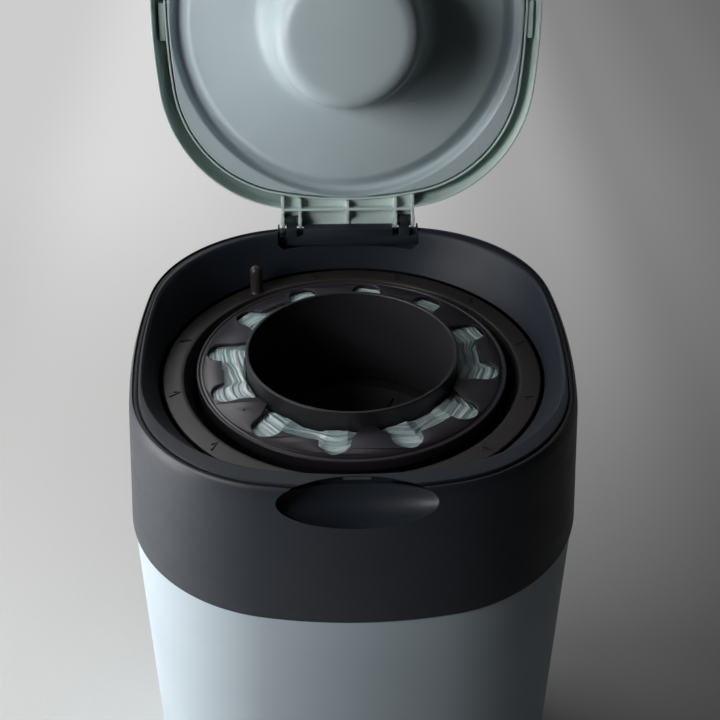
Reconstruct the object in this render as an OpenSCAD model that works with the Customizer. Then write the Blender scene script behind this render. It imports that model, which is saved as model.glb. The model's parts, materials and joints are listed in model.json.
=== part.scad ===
/* [Refill cassette] */
// Outer radius of the refill cassette, over its rim
cassette_r = 88; // [82:0.5:92]
// Height of the refill cassette, from its underside to its rim
cassette_h = 45; // [38:1:50]
// Outer radius of the core tube that the nappies go down
tube_r = 59.8; // [54:0.2:62]
// Height of the tube above the cassette rim
tube_rise = 10.4; // [6:0.2:14]
// Wall thickness of the cassette parts
cassette_wall = 1.6; // [1.2:0.1:2]
// Number of notches in the cover ring
notches = 12; // [10:2:14]
// Width of one notch
notch_w = 17; // [12:0.5:20]
// Distance that the notches stay clear of the rim
notch_margin = 4.5; // [3:0.5:8]
// Gap between the tip of a long tooth and the tube
long_tooth_gap = 1.6; // [0.6:0.1:4]
// Gap between the tip of a short tooth and the tube
short_tooth_gap = 14; // [8:0.5:16]
// Gap between the film pack and the parts around it
film_gap = 1; // [0.5:0.1:2]

/* [Turntable] */
// Gap between the cassette rim and the deck ring
deck_gap = 6.8; // [4:0.2:9]
// Width of the deck ring
deck_w = 13; // [10:0.5:16]
// Thickness of the deck ring and the cup wall below it
deck_wall = 2.4; // [1.8:0.1:3]
// Distance from the rim plane down to the deck ring
deck_drop = 26; // [23:0.5:30]
// Distance from the rim plane down to the cassette rim
cassette_drop = 22.9; // [20:0.5:26]
// Width of the catches that centre the cassette in the cup
cup_catch_w = 14; // [8:1:24]
// Diameter of the grip peg
peg_d = 7.4; // [5:0.2:9]
// Height of the grip peg above the deck ring
peg_h = 18; // [12:0.5:20]
// Place of the grip peg round the ring, in degrees
peg_turn = 124.5; // [90:0.5:150]
// Length of a raised mark on the deck ring
mark_l = 7; // [4:0.5:9]
// Width of a raised mark
mark_w = 0.9; // [0.6:0.1:1.5]

/* [Head casing] */
// How far the casing hangs below its base plate
skirt_h = 7.6; // [6:0.2:12]
// Thickness of the base plate
base_t = 2.6; // [2:0.1:3.4]
// Wall thickness of the head casing
head_wall = 2.6; // [2:0.1:3.2]
// How far the casing flares out between shoulder and lower edge
head_flare = 4.8; // [2:0.2:7]
// Height of the rounded shoulder
shoulder_h = 9; // [5:0.5:12]
// Width of the rounded shoulder
shoulder_w = 2.4; // [1.4:0.1:3.4]
// Width of the rim groove
groove_w = 2.9; // [2.6:0.1:3.6]
// Depth of the rim groove
groove_depth = 3.6; // [3:0.1:5]
// Margin between the well and the rim outline, at the sides
well_margin = 9; // [7:0.5:14]
// Extra depth of the head, front to back, over its width
extra_depth = 9; // [4:0.5:14]
// Distance of the cassette's centre behind the head's centre
well_y = 9.6; // [6:0.2:12]
// Radius of the bulged side walls
side_r = 425; // [350:5:600]
// Radius of the bulged front and back walls
front_r = 241; // [225:1:320]
// Radius of the corners
corner_r = 85.3; // [78:0.5:90]
// Half width of the finger scoop
scoop_half_w = 39.5; // [30:0.5:46]
// Half height of the finger scoop
scoop_half_h = 12.9; // [10:0.1:14]
// Depth of the finger scoop
scoop_depth = 9; // [6:0.5:11]
// How far the finger scoop leans back, from vertical
scoop_lean = 34.4; // [30:0.2:40]
// Width of the latch slot
slot_w = 14; // [10:0.5:20]
// Height of the latch slot
slot_h = 3; // [2.4:0.1:3]

/* [Lid] */
// Height of the closed lid above the rim
lid_rise = 32; // [30:1:40]
// Wall thickness of the lid shell
lid_wall = 2.2; // [1.6:0.1:2.6]
// Angle of the open lid, from closed
open_angle = 104.3; // [95:0.5:110]
// Distance of the inner rib from the lid's edge
rib_inset = 7.8; // [7:0.1:10]
// Distance of the rib's edge above the rim plane, on the closed lid
rib_lift = 4.4; // [3:0.2:6]
// Thickness of the inner rib
rib_t = 1.2; // [0.8:0.1:1.6]
// Wall thickness of the lid liner
liner_wall = 1.8; // [1.4:0.1:2.2]
// Distance from the well's wall in to the round channel of the liner
channel_inset = 7.1; // [6.8:0.1:12]
// Radius of the plunger
plunger_r = 43.5; // [38:0.5:46]
// How far the plunger reaches below the rim plane
plunger_reach = 53; // [40:1:58]

/* [Lid hinge] */
// Diameter of the lid hinge pin
lid_pin_d = 4.4; // [3.6:0.1:5]
// Height of the lid hinge axis above the rim
lid_axis_lift = 1.6; // [1.4:0.1:2.4]
// Distance from the head's centre plane to the middle of an inner ear
inner_ear_x = 30; // [26:0.5:33]
// Distance from the head's centre plane to the middle of an outer ear
outer_ear_x = 40.8; // [39:0.2:44]
// Thickness of an ear
ear_t = 2; // [1.6:0.1:2.4]
// Radius of an ear round the pin
ear_r = 5.4; // [4.8:0.1:5.8]
// Height of the hinge block below the rim
block_drop = 11; // [9:0.5:13]

/* [Tub] */
// Height of the tub below the head
tub_h = 288; // [240:2:340]
// Wall thickness of the tub
tub_wall = 2.8; // [2.2:0.1:3.4]
// How much the tub narrows, in mm for each mm of height
tub_taper = 0.018; // [0.008:0.001:0.025]
// Step between the head's lower edge and the tub wall
tub_step = 1; // [0.5:0.1:1.5]
// Gap between the top of the tub's collar and the head's base plate
collar_gap = 1.4; // [1:0.1:2]
// Height of the rubber feet below the tub
foot_h = 3; // [2:0.5:5]
// Radius of a rubber foot
foot_r = 11; // [8:0.5:14]

/* [Head hinge and catches] */
// Diameter of the rear hinge pin
rear_pin_d = 4; // [3:0.1:5]
// Radius of the rear hinge knuckles
rear_knuckle_r = 4.6; // [4.2:0.1:5.4]
// Width of one rear hinge knuckle
rear_knuckle_w = 14; // [10:0.5:18]
// Width of a release button
button_w = 30; // [22:1:36]
// Height of a release button
button_h = 14; // [11:0.5:16]
// Travel of a release button
button_travel = 2.5; // [1.5:0.1:3]

/* [Film gripper and cutter] */
// Radius of the opening in the film gripper
gripper_r = 38; // [32:0.5:44]
// Number of slits in the film gripper
gripper_slits = 12; // [8:1:16]
// Length of the film cutter's blade
blade_l = 22; // [16:1:28]

/* [Fits] */
// Clearance between parts that move past each other
clearance = 0.3; // [0.25:0.05:0.5]
// Radial clearance of a hinge pin in its bore
pin_clearance = 0.05; // [0.02:0.01:0.1]

/* [Hidden] */
$fn = 96;
tiny = 0.01;

// Heights, from the surface that the bin stands on. The head is as high as the stack in it needs:
// cassette, cup floor, glide pads and base plate, with the skirt below.
tub_z = foot_h;
pad_h = 1.2;
head_h = cassette_drop + cassette_h + clearance + deck_wall + pad_h + base_t + skirt_h;
rim_z = tub_h + head_h;
deck_z = rim_z - deck_drop;
rim_of_cassette_z = rim_z - cassette_drop;
cassette_z = rim_of_cassette_z - cassette_h;
cup_floor_z = cassette_z - clearance - deck_wall;
base_top_z = cup_floor_z - pad_h;
base_z = base_top_z - base_t;
collar_h = skirt_h - collar_gap;

// Radii about the cassette's own axis.
cup_in_r = cassette_r + 2.6;
hole_r = cassette_r + deck_gap;
deck_r = hole_r + deck_w;
well_r = deck_r + 1.6;
neck_r = tube_r + 5;
neck_wall = 2;
film_in_r = tube_r + film_gap;
film_out_r = cassette_r - 3 - cassette_wall - film_gap;
peg_ring_r = hole_r + deck_w * 0.45;
channel_r = well_r - channel_inset;

// The rim outline is a rounded square whose sides bulge: eight arcs that meet in tangents.
rim_half_w = well_r + well_margin;
rim_half_d = rim_half_w + extra_depth;
arc_steps = [4, 12, 6];

// Depth of the head's outer wall at a height below the rim, as an offset from the rim outline.
groove_out = 0.5;
groove_in = groove_out - groove_w;
shoulder_out = groove_out + shoulder_w;
function wall_out(drop) = shoulder_out + head_flare * (drop - shoulder_h) / (head_h - shoulder_h);
function wall_in(drop) = wall_out(drop) - head_wall;

// Outline of the well's mouth, set back like the cassette.
mouth_half_w = rim_half_w - 5;
mouth_half_d = rim_half_d - 10;
mouth_y = 3.5;

// Tub wall, as offsets from the rim outline.
tub_top_out = wall_out(head_h) - tub_step;
tub_foot_out = tub_top_out - tub_taper * tub_h;
collar_out = wall_in(head_h - collar_h) - clearance - 0.15;
collar_t = 2.2;

// Hinge axes.
lid_axis_y = rim_half_d + 3.3;
lid_axis_z = rim_z + lid_axis_lift;
ear_bore_r = lid_pin_d / 2 + pin_clearance;
bracket_half_w = outer_ear_x + ear_t / 2;
block_half_w = bracket_half_w + 2.2;
rear_axis_y = rim_half_d + wall_out(head_h) + rear_knuckle_r + 0.7;
rear_axis_z = tub_h - 2;
rear_bore_r = rear_pin_d / 2 + pin_clearance;

// Release buttons. The arm runs down inside the collar, and the spring bears on a post behind it.
button_z = base_top_z + button_h / 2 + 0.8;
button_x = rim_half_w + wall_out(rim_z - button_z);
wall_lean = atan(head_flare / (head_h - shoulder_h));
flange_x = button_x - head_wall - 4 * clearance;
collar_in_x = rim_half_w + collar_out - collar_t;
arm_t = 1.6;
arm_x = collar_in_x - 3 * clearance - arm_t;
post_x = arm_x - button_travel - 0.9;
post_half_l = 15;
catch_half_w = 8;
catch_z = tub_h + 1;
catch_h = 2.6;

// Points on an arc, without its last point.
function arc(c, r, a0, a1, n) =
    [for (i = [0:n - 1]) let (a = a0 + (a1 - a0) * i / n) [c.x + r * cos(a), c.y + r * sin(a)]];

// Centre of the corner arc: it lies at known distances from the centres of the two wall arcs.
function corner_centre(w, d, rs, rf, rc) =
    let (c1 = [w - rs, 0],
         c2 = [0, d - rf],
         gap = norm(c2 - c1),
         e = (c2 - c1) / gap,
         along = (gap * gap + (rs - rc) * (rs - rc) - (rf - rc) * (rf - rc)) / (2 * gap),
         across = sqrt((rs - rc) * (rs - rc) - along * along),
         one = c1 + along * e + across * [e.y, -e.x],
         two = c1 + along * e - across * [e.y, -e.x])
    one.x > 0 && one.y > 0 ? one : two;

// The whole outline for a half width w and half depth d, anticlockwise from +X.
function outline_for(w, d, rs, rf, rc) =
    let (p = corner_centre(w, d, rs, rf, rc),
         t1 = atan2(p.y, p.x - (w - rs)),
         t2 = atan2(p.y - (d - rf), p.x),
         first = concat(arc([w - rs, 0], rs, 0, t1, arc_steps[0]),
                        arc(p, rc, t1, t2, arc_steps[1]),
                        arc([0, d - rf], rf, t2, 90, arc_steps[2])),
         n = len(first))
    concat(first,
           [[0, d]],
           [for (i = [n - 1:-1:1]) [-first[i].x, first[i].y]],
           [for (i = [0:n - 1]) [-first[i].x, -first[i].y]],
           [[0, -d]],
           [for (i = [n - 1:-1:1]) [first[i].x, -first[i].y]]);

// Outlines that run parallel to the rim outline and to the well's mouth, at an offset o.
function rim_outline(o) =
    outline_for(rim_half_w + o, rim_half_d + o, side_r + o, front_r + o, corner_r + o);
function mouth_outline(o) =
    [for (p = outline_for(mouth_half_w + o, mouth_half_d + o, side_r + o, front_r + o, corner_r + o))
        p + [0, mouth_y]];

// A circle about the cassette's axis, with one point for each point of the mouth outline.
function well_circle(r) =
    [for (p = mouth_outline(0)) let (a = atan2(p.y - well_y, p.x)) [r * cos(a), well_y + r * sin(a)]];
function between(a, b, t) = [for (i = [0:len(a) - 1]) a[i] * (1 - t) + b[i] * t];
function at_height(ring, z) = [for (p = ring) [p.x, p.y, z]];

// Skins a list of rings. A tube joins its last ring to its first, a cup closes both ends.
module loft(rings, tube) {
    n = len(rings[0]);
    m = len(rings);
    last = tube ? m - 1 : m - 2;
    sides = [for (i = [0:last], k = [0:n - 1])
        [i * n + k, i * n + (k + 1) % n, ((i + 1) % m) * n + (k + 1) % n, ((i + 1) % m) * n + k]];
    caps = tube ? [] : [[for (k = [n - 1:-1:0]) k], [for (k = [0:n - 1]) (m - 1) * n + k]];
    polyhedron(points = [for (r = rings) each r], faces = concat(sides, caps), convexity = 8);
}
// A section of [offset, height] points carried round the rim outline. The section of a tube
// runs anticlockwise, and a cup's runs from its lower closed end to its upper one.
module rim_sweep(section, tube = true) {
    loft([for (s = section) at_height(rim_outline(s[0]), s[1])], tube);
}
module rim_plate(o, z, t) {
    translate([0, 0, z]) linear_extrude(t) polygon(rim_outline(o));
}

// A path of [radius, height] points given a wall thickness t on its left side.
function unit(v) = v / norm(v);
function left_of(v) = [-v.y, v.x];
function path_normal(p, i) =
    let (n = len(p),
         a = i > 0 ? left_of(unit(p[i] - p[i - 1])) : left_of(unit(p[1] - p[0])),
         b = i < n - 1 ? left_of(unit(p[i + 1] - p[i])) : a)
    (a + b) / (1 + a * b);
function walled(p, t) =
    concat(p, [for (i = [len(p) - 1:-1:0]) let (q = p[i] + t * path_normal(p, i)) [max(q.x, 0), q.y]]);

module about_well() {
    translate([0, well_y, 0]) children();
}
module ring(r_in, r_out, z, t) {
    translate([0, 0, z]) difference() {
        cylinder(h = t, r = r_out);
        translate([0, 0, -1]) cylinder(h = t + 2, r = r_in);
    }
}
module x_cylinder(x0, x1, y, z, r) {
    translate([x0, y, z]) rotate([0, 90, 0]) cylinder(h = x1 - x0, r = r, $fn = 48);
}
module both_sides() {
    children();
    mirror([1, 0, 0]) children();
}
// Puts what is drawn on the closed lid where the open lid holds it.
module open_lid() {
    translate([0, lid_axis_y, lid_axis_z]) rotate([-open_angle, 0, 0])
        translate([0, -lid_axis_y, -lid_axis_z]) children();
}

// ---- Tub ----
foot_in = 8;
diagonal = [cos(45), sin(45)];
rim_corner = corner_centre(rim_half_w, rim_half_d, side_r, front_r, corner_r);
foot_place = rim_corner + (corner_r + tub_foot_out - foot_in - foot_r - 1) * diagonal;
function four_of(p) = [for (sx = [-1, 1], sy = [-1, 1]) [sx * p.x, sy * p.y]];
foot_places = concat([[0, 0]], four_of(foot_place));

module tub() {
    floor_top = tub_z + tub_wall;
    step_z = tub_h - 0.6;
    collar_z = step_z + collar_h + 0.6;
    color("lightsteelblue") difference() {
        rim_sweep([
            [tub_foot_out - foot_in, tub_z],
            [tub_foot_out - 2.4, tub_z + 1.6],
            [tub_foot_out, tub_z + 8],
            [tub_top_out, step_z],
            [collar_out, step_z],
            [collar_out, collar_z],
            [collar_out - collar_t, collar_z],
            [collar_out - collar_t, step_z - 5],
            [tub_top_out - tub_wall, step_z - 9],
            [tub_foot_out - tub_wall, tub_z + 9],
            [tub_foot_out - foot_in, floor_top]
        ], false);
        for (p = foot_places) translate([p.x, p.y, tub_z - 1])
            cylinder(h = 1 + foot_plug_h + 0.1, r = foot_r - 2 + 0.05);
        both_sides() translate([collar_in_x - 1, -catch_half_w - 1, catch_z - clearance])
            cube([collar_t + 2, 2 * catch_half_w + 2, catch_h + 2 * clearance]);
    }
}
foot_plug_h = 1.2;

module foot_pads() {
    color("dimgray") for (p = foot_places) translate([p.x, p.y, 0]) {
        cylinder(h = foot_h, r = foot_r);
        cylinder(h = foot_h + foot_plug_h, r = foot_r - 2);
    }
}

// ---- Hinge between tub and head ----
module rear_knuckle(x0, w) {
    difference() {
        x_cylinder(x0, x0 + w, rear_axis_y, rear_axis_z, rear_knuckle_r);
        x_cylinder(x0 - 1, x0 + w + 1, rear_axis_y, rear_axis_z, rear_bore_r);
    }
}

tub_leaf_y = rim_half_d + tub_top_out - 1.4;
module tub_hinge() {
    leaf_h = 26;
    leaf_half = rear_knuckle_w * 1.5;
    color("lightsteelblue") {
        difference() {
            union() {
                translate([-leaf_half, tub_leaf_y, rear_axis_z - leaf_h])
                    cube([2 * leaf_half, 4, leaf_h - rear_knuckle_r - clearance]);
                translate([-rear_knuckle_w / 2, tub_leaf_y, rear_axis_z - leaf_h])
                    cube([rear_knuckle_w, rear_axis_y - tub_leaf_y, leaf_h]);
            }
            rim_plate(tub_top_out + 0.02, rear_axis_z - leaf_h - 1, leaf_h + 4);
            x_cylinder(-leaf_half - 1, leaf_half + 1, rear_axis_y, rear_axis_z, rear_bore_r);
        }
        rear_knuckle(-rear_knuckle_w / 2, rear_knuckle_w);
    }
}

module rear_hinge_pin() {
    half = rear_knuckle_w * 1.5 + clearance;
    color("silver") x_cylinder(-half, half, rear_axis_y, rear_axis_z, rear_pin_d / 2);
}

module head_hinge() {
    leaf_h = 12;
    steps = 4;
    step_h = leaf_h / steps;
    x0 = rear_knuckle_w / 2 + clearance;
    x1 = x0 + rear_knuckle_w;
    root_y = rear_axis_y - rear_knuckle_r;
    color("darkslategray") both_sides() {
        difference() {
            union() {
                translate([x0, root_y, rear_axis_z])
                    cube([rear_knuckle_w, rear_knuckle_r, tub_h + leaf_h - rear_axis_z]);
                translate([x0, rim_half_d, tub_h + 0.1])
                    cube([rear_knuckle_w, rear_axis_y - rim_half_d, leaf_h - 0.1]);
            }
            for (i = [0:steps - 1])
                rim_plate(wall_out(head_h - i * step_h) + 0.02, tub_h + i * step_h - tiny, step_h + 2 * tiny);
            x_cylinder(x0 - 1, x1 + 1, rear_axis_y, rear_axis_z, rear_bore_r);
        }
        rear_knuckle(x0, rear_knuckle_w);
    }
}

// ---- Head ----
// The scoop is a spindle that lies along the front, joined to an elliptical prism that clears
// the casing outside it. Both meet at the ellipse of the scoop's edge.
scoop_y = -rim_half_d + 3.5;
scoop_z = rim_z - 10.6;
spindle_r = (scoop_half_h * scoop_half_h + scoop_depth * scoop_depth) / (2 * scoop_depth);
spindle_out = spindle_r - scoop_depth;
edge_lap = 0.15;
function scoop_half(x) = scoop_half_h * sqrt(max(1 - x * x / (scoop_half_w * scoop_half_w), 0));
function spindle_at(x) = sqrt(spindle_out * spindle_out + scoop_half(x) * scoop_half(x)) - edge_lap;
module scoop_place() {
    translate([0, scoop_y, scoop_z]) rotate([-scoop_lean, 0, 0]) children();
}
module spindle(grow) {
    n = 24;
    w = scoop_half_w + grow;
    translate([0, -spindle_out, 0]) rotate([0, 90, 0]) rotate_extrude() polygon(concat(
        [[0, -w]],
        [for (i = [0:n]) let (x = -scoop_half_w * cos(180 * i / n))
            [spindle_at(x) + grow, x * w / scoop_half_w]],
        [[0, w]]));
}
module scoop_space(grow) {
    n = 48;
    reach = scoop_half_w + 10;
    w = scoop_half_w + grow + edge_lap;
    h = scoop_half_h + grow + edge_lap;
    scoop_place() {
        intersection() {
            spindle(grow);
            translate([-reach, 0, -reach]) cube(2 * reach);
        }
        translate([0, 2 * edge_lap, 0]) rotate([90, 0, 0]) linear_extrude(26)
            polygon([for (i = [0:n - 1]) [w * cos(360 * i / n), h * sin(360 * i / n)]]);
    }
}
// The rim is cut off squarely where the hinge block sits.
module hinge_recess() {
    translate([-block_half_w - 0.05, rim_half_d - 12, rim_z - block_drop - 0.05])
        cube([2 * block_half_w + 0.1, 40, block_drop + 20]);
}

ledge_t = 2;
// Offset of the casing's inner face, which leans in to the ledge above the shoulder.
function casing_in(drop) =
    let (ledge_drop = groove_depth + ledge_t, t = (drop - ledge_drop) / (shoulder_h - ledge_drop))
    drop > shoulder_h ? wall_in(drop) : (groove_out - head_wall) * (1 - t) + wall_in(shoulder_h) * t;
module head_shell() {
    ledge = 0.6;
    color("#22262e") difference() {
        rim_sweep([
            [wall_out(head_h), tub_h],
            [wall_out(shoulder_h), rim_z - shoulder_h],
            [groove_out + shoulder_w * 0.78, rim_z - shoulder_h * 0.5],
            [groove_out + shoulder_w * 0.42, rim_z - shoulder_h * 0.16],
            [groove_out, rim_z],
            [groove_out, rim_z - groove_depth],
            [groove_in - ledge, rim_z - groove_depth],
            [groove_in - ledge, rim_z - groove_depth - ledge_t],
            [groove_out - head_wall, rim_z - groove_depth - ledge_t],
            [wall_in(shoulder_h), rim_z - shoulder_h],
            [wall_in(head_h), tub_h]
        ]);
        scoop_space(0);
        hinge_recess();
        both_sides() button_block(4, 7, clearance);
    }
}

// The block of a release button, square to the leaning wall: it runs from out_l outside the
// wall's face to in_l behind it, and is larger all round by grow.
module button_block(out_l, in_l, grow) {
    translate([-button_x, 0, button_z]) rotate([0, wall_lean, 0])
        translate([-out_l, -button_w / 2 - grow, -button_h / 2 - grow])
            cube([out_l + in_l, button_w + 2 * grow, button_h + 2 * grow]);
}

// Posts in the corners of the casing, for the screws of the base.
screw_r = 1.9;
screw_l = 13;
post_r = 4.5;
screw_places = four_of(rim_corner + (corner_r + wall_in(rim_z - base_top_z) - post_r) * diagonal);
module screw_posts() {
    steps = 4;
    step_h = 5.5;
    z0 = base_top_z + 0.02;
    color("#22262e") difference() {
        intersection() {
            for (p = screw_places) translate([p.x, p.y, z0]) cylinder(h = steps * step_h, r = post_r);
            for (i = [0:steps - 1])
                rim_plate(wall_in(rim_z - z0 - (i + 1) * step_h) - 0.02,
                    z0 + i * step_h - tiny, step_h + 2 * tiny);
        }
        for (p = screw_places) translate([p.x, p.y, z0 - 1]) cylinder(h = screw_l + 3, r = screw_r + 0.05);
    }
}

// The bowl of the scoop, let in behind the hole in the casing. It ends below the lip.
bowl_t = 1.4;
bowl_top_z = rim_z - groove_depth - ledge_t - 1;
module finger_scoop() {
    steps = 5;
    step_h = 4.6;
    start = rim_z - bowl_top_z;
    drops = concat([for (i = [0:2]) start + (shoulder_h - start) * i / 3],
                   [for (i = [0:steps]) shoulder_h + i * step_h]);
    color("#22262e") difference() {
        intersection() {
            scoop_place() spindle(bowl_t);
            for (i = [0:len(drops) - 2])
                rim_plate(casing_in(drops[i]) - 0.05,
                          rim_z - drops[i + 1] - tiny, drops[i + 1] - drops[i] + tiny);
        }
        scoop_place() spindle(0);
    }
}

module well_liner() {
    skin_t = 2;
    foot = deck_z - 0.6;
    color("#2c3138") difference() {
        loft([
            at_height(rim_outline(groove_in), rim_z - groove_depth),
            at_height(rim_outline(groove_in), rim_z - 0.8),
            at_height(rim_outline(groove_in - 0.6), rim_z),
            at_height(mouth_outline(1.2), rim_z),
            at_height(mouth_outline(0), rim_z - 1.4),
            at_height(between(mouth_outline(0), well_circle(well_r), 0.45), rim_z - deck_drop * 0.5),
            at_height(well_circle(well_r), foot),
            at_height(well_circle(well_r + skin_t), foot),
            at_height(between(mouth_outline(skin_t), well_circle(well_r + skin_t), 0.45),
                rim_z - deck_drop * 0.5 - 0.6),
            at_height(between(mouth_outline(skin_t), rim_outline(groove_in - 1), 0.1), rim_z - groove_depth)
        ], true);
        scoop_space(0);
        intersection() {
            scoop_place() spindle(bowl_t + 0.1);
            translate([-2 * scoop_half_w, -2 * rim_half_d, bowl_top_z + 0.1 - 2 * scoop_half_w])
                cube([4 * scoop_half_w, 2 * rim_half_d, 2 * scoop_half_w]);
        }
        hinge_recess();
        latch_slot();
    }
}
slot_z = rim_z - 2.4;
module latch_slot() {
    translate([-slot_w / 2, -rim_half_d, slot_z - slot_h / 2]) cube([slot_w, 26, slot_h]);
}

module rim_seal() {
    side_gap = 0.1;
    color("black") difference() {
        rim_sweep([
            [groove_in + side_gap, rim_z - groove_depth],
            [groove_in + side_gap, rim_z - 1.6],
            [groove_in + groove_w * 0.5, rim_z - 1.1],
            [groove_out - side_gap, rim_z - 1.6],
            [groove_out - side_gap, rim_z - groove_depth]
        ]);
        scoop_space(0.1);
        hinge_recess();
    }
}

module head_base() {
    edge = wall_in(rim_z - base_top_z) - 0.05;
    collar_wall = 2;
    window_half = button_w / 2 + 3;
    color("#2a2c30") difference() {
        union() {
            rim_plate(edge, base_z, base_t);
            about_well() ring(neck_r, neck_r + collar_wall, base_z - 6, 6 + tiny);
            both_sides() translate([post_x - 2, -post_half_l, base_top_z - 1])
                cube([2, 2 * post_half_l, button_z + 6 - base_top_z]);
        }
        about_well() translate([0, 0, base_z - 7]) cylinder(h = base_t + 8, r = neck_r);
        both_sides() translate([post_x, -window_half, base_z - 1]) cube([30, 2 * window_half, base_t + 2]);
        for (p = screw_places) translate([p.x, p.y, base_z - 1]) cylinder(h = base_t + 2, r = screw_r + 0.2);
    }
}
module base_screws() {
    head_t = collar_gap - clearance;
    color("silver") for (p = screw_places) translate([p.x, p.y, 0]) {
        translate([0, 0, base_z - head_t]) cylinder(h = head_t, r = screw_r * 2);
        translate([0, 0, base_z - 1]) cylinder(h = base_t + screw_l, r = screw_r);
    }
}

module lid_hinge_block() {
    face_y = rim_half_d - 5.4;
    front_back_y = rim_half_d + groove_out + shoulder_w - 0.6;
    back_y = lid_axis_y + 2.8;
    step_z = rim_z - 5;
    knuckle_x0 = inner_ear_x + ear_t / 2 + clearance;
    knuckle_x1 = outer_ear_x - ear_t / 2 - clearance;
    knuckle_r = lid_pin_d / 2 + 1.4;
    ear_slot = ear_t + 2.4;
    color("#30353c") both_sides() difference() {
        union() {
            translate([-tiny, face_y, rim_z - block_drop])
                cube([block_half_w + tiny, front_back_y - face_y, block_drop]);
            translate([-tiny, face_y, rim_z - block_drop])
                cube([block_half_w + tiny, back_y - face_y, step_z - rim_z + block_drop]);
            x_cylinder(knuckle_x0, knuckle_x1, lid_axis_y, lid_axis_z, knuckle_r);
            translate([knuckle_x0, lid_axis_y - knuckle_r, step_z - 1])
                cube([knuckle_x1 - knuckle_x0, 1.5 * knuckle_r, lid_axis_z - step_z + 1]);
        }
        for (x = [inner_ear_x, outer_ear_x])
            translate([x - ear_slot / 2, face_y - 1, step_z]) cube([ear_slot, 30, 10]);
        x_cylinder(-1, block_half_w + 1, lid_axis_y, lid_axis_z, lid_pin_d / 2);
    }
}

module lid_hinge_pin() {
    half = outer_ear_x + ear_t / 2 + 0.4;
    color("silver") both_sides()
        x_cylinder(inner_ear_x - ear_t / 2 - 0.4, half, lid_axis_y, lid_axis_z, lid_pin_d / 2);
}

// ---- Film gripper and cutter, under the head ----
gripper_lift = 8;
gripper_z = base_z - gripper_lift;
flange_w = 8;
module film_gripper() {
    sheet = 1.2;
    outer = neck_r + flange_w;
    drop = 14;
    slit_l = neck_r - flange_w - gripper_r;
    color("darkgray") about_well() difference() {
        rotate_extrude() polygon(walled([
            [gripper_r, gripper_z - drop],
            [gripper_r + 8, gripper_z - drop * 0.45],
            [neck_r - 6, gripper_z],
            [outer, gripper_z]], sheet));
        for (i = [0:gripper_slits - 1]) rotate(i * 360 / gripper_slits)
            translate([gripper_r - 2, -0.6, gripper_z - drop - 4]) cube([slit_l, 1.2, drop + 10]);
    }
}
module gripper_ring() {
    plate = 2.6;
    cup_r = neck_r + flange_w + clearance;
    out_r = cup_r + 1.7;
    color("#2a2c30") about_well() {
        ring(neck_r - 3, out_r, gripper_z - plate - 0.02, plate);
        ring(cup_r, out_r, gripper_z - 1, gripper_lift + 1);
    }
}

module glide_pads() {
    color("white") about_well() for (a = [0:60:300]) rotate(a)
        translate([neck_r + 12, 0, base_top_z]) cylinder(h = pad_h - 0.1, r = 5);
}

cutter_y = -rim_half_d + 30;
module cutter_guard() {
    gap = 3;
    color("#2a2c30") difference() {
        translate([-blade_l / 2 - 6, cutter_y - 7, base_z - 16]) cube([blade_l + 12, 14, 16]);
        translate([-blade_l / 2, cutter_y - gap / 2, base_z - 17]) cube([blade_l + 20, gap, 11]);
        translate([-blade_l / 2 - 1, cutter_y - 0.4, base_z - 12]) cube([blade_l, 0.8, 9]);
        translate([-blade_l / 2 - 7, cutter_y - 8, base_z - 17]) cube([4, 16, 11]);
    }
}
module cutter_blade() {
    color("silver") translate([-blade_l / 2 - 0.5, cutter_y - 0.3, base_z - 11])
        cube([blade_l - 1, 0.6, 7.5]);
}

// ---- Release buttons ----
// A button slides in through the head's wall. Its nose faces a window in the tub's collar.
module release_button() {
    low = button_z - button_h / 2;
    nose = 2 * clearance;
    color("#22262e") {
        button_block(-0.1, button_x - flange_x, 0);
        translate([-flange_x, -button_w / 2 - 2, low - 1])
            cube([flange_x - arm_x, button_w + 4, button_h + 3]);
        translate([-arm_x - arm_t, -catch_half_w, catch_z]) cube([arm_t, 2 * catch_half_w, low - catch_z]);
        translate([-arm_x - arm_t - nose, -catch_half_w, catch_z])
            cube([nose + 0.2, 2 * catch_half_w, catch_h]);
    }
}
module left_release_button() {
    release_button();
}
module right_release_button() {
    mirror([1, 0, 0]) release_button();
}
// A bowed leaf spring: its ends bear on the post, and its crown faces the button.
module button_spring() {
    leaf_t = 0.5;
    half_l = post_half_l - 1;
    depth = arm_x - clearance - post_x;
    bow = depth - leaf_t;
    bow_r = (half_l * half_l + bow * bow) / (2 * bow);
    color("silver") translate([-post_x - depth, 0, button_z - 3]) linear_extrude(6) intersection() {
        translate([bow_r, 0]) difference() {
            circle(r = bow_r);
            circle(r = bow_r - leaf_t);
        }
        translate([-1, -half_l]) square([1 + depth - tiny, 2 * half_l]);
    }
}
module left_button_spring() {
    button_spring();
}
module right_button_spring() {
    mirror([1, 0, 0]) button_spring();
}

// ---- Lid, drawn closed and then opened ----
lid_out = -1.4;
lid_edge_z = rim_z - 0.1;
lid_top_z = rim_z + lid_rise;
rib_out = lid_out - rib_inset;
module lid_cut() {
    back_y = rim_half_d + rib_out + 0.05;
    translate([-bracket_half_w - 0.05, back_y, rim_z - 5])
        cube([2 * bracket_half_w + 0.1, 40, 5 + lid_axis_lift + 7.2]);
    translate([-block_half_w - clearance, back_y, rim_z - 5])
        cube([2 * (block_half_w + clearance), 40, 5 + clearance]);
}
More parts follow.
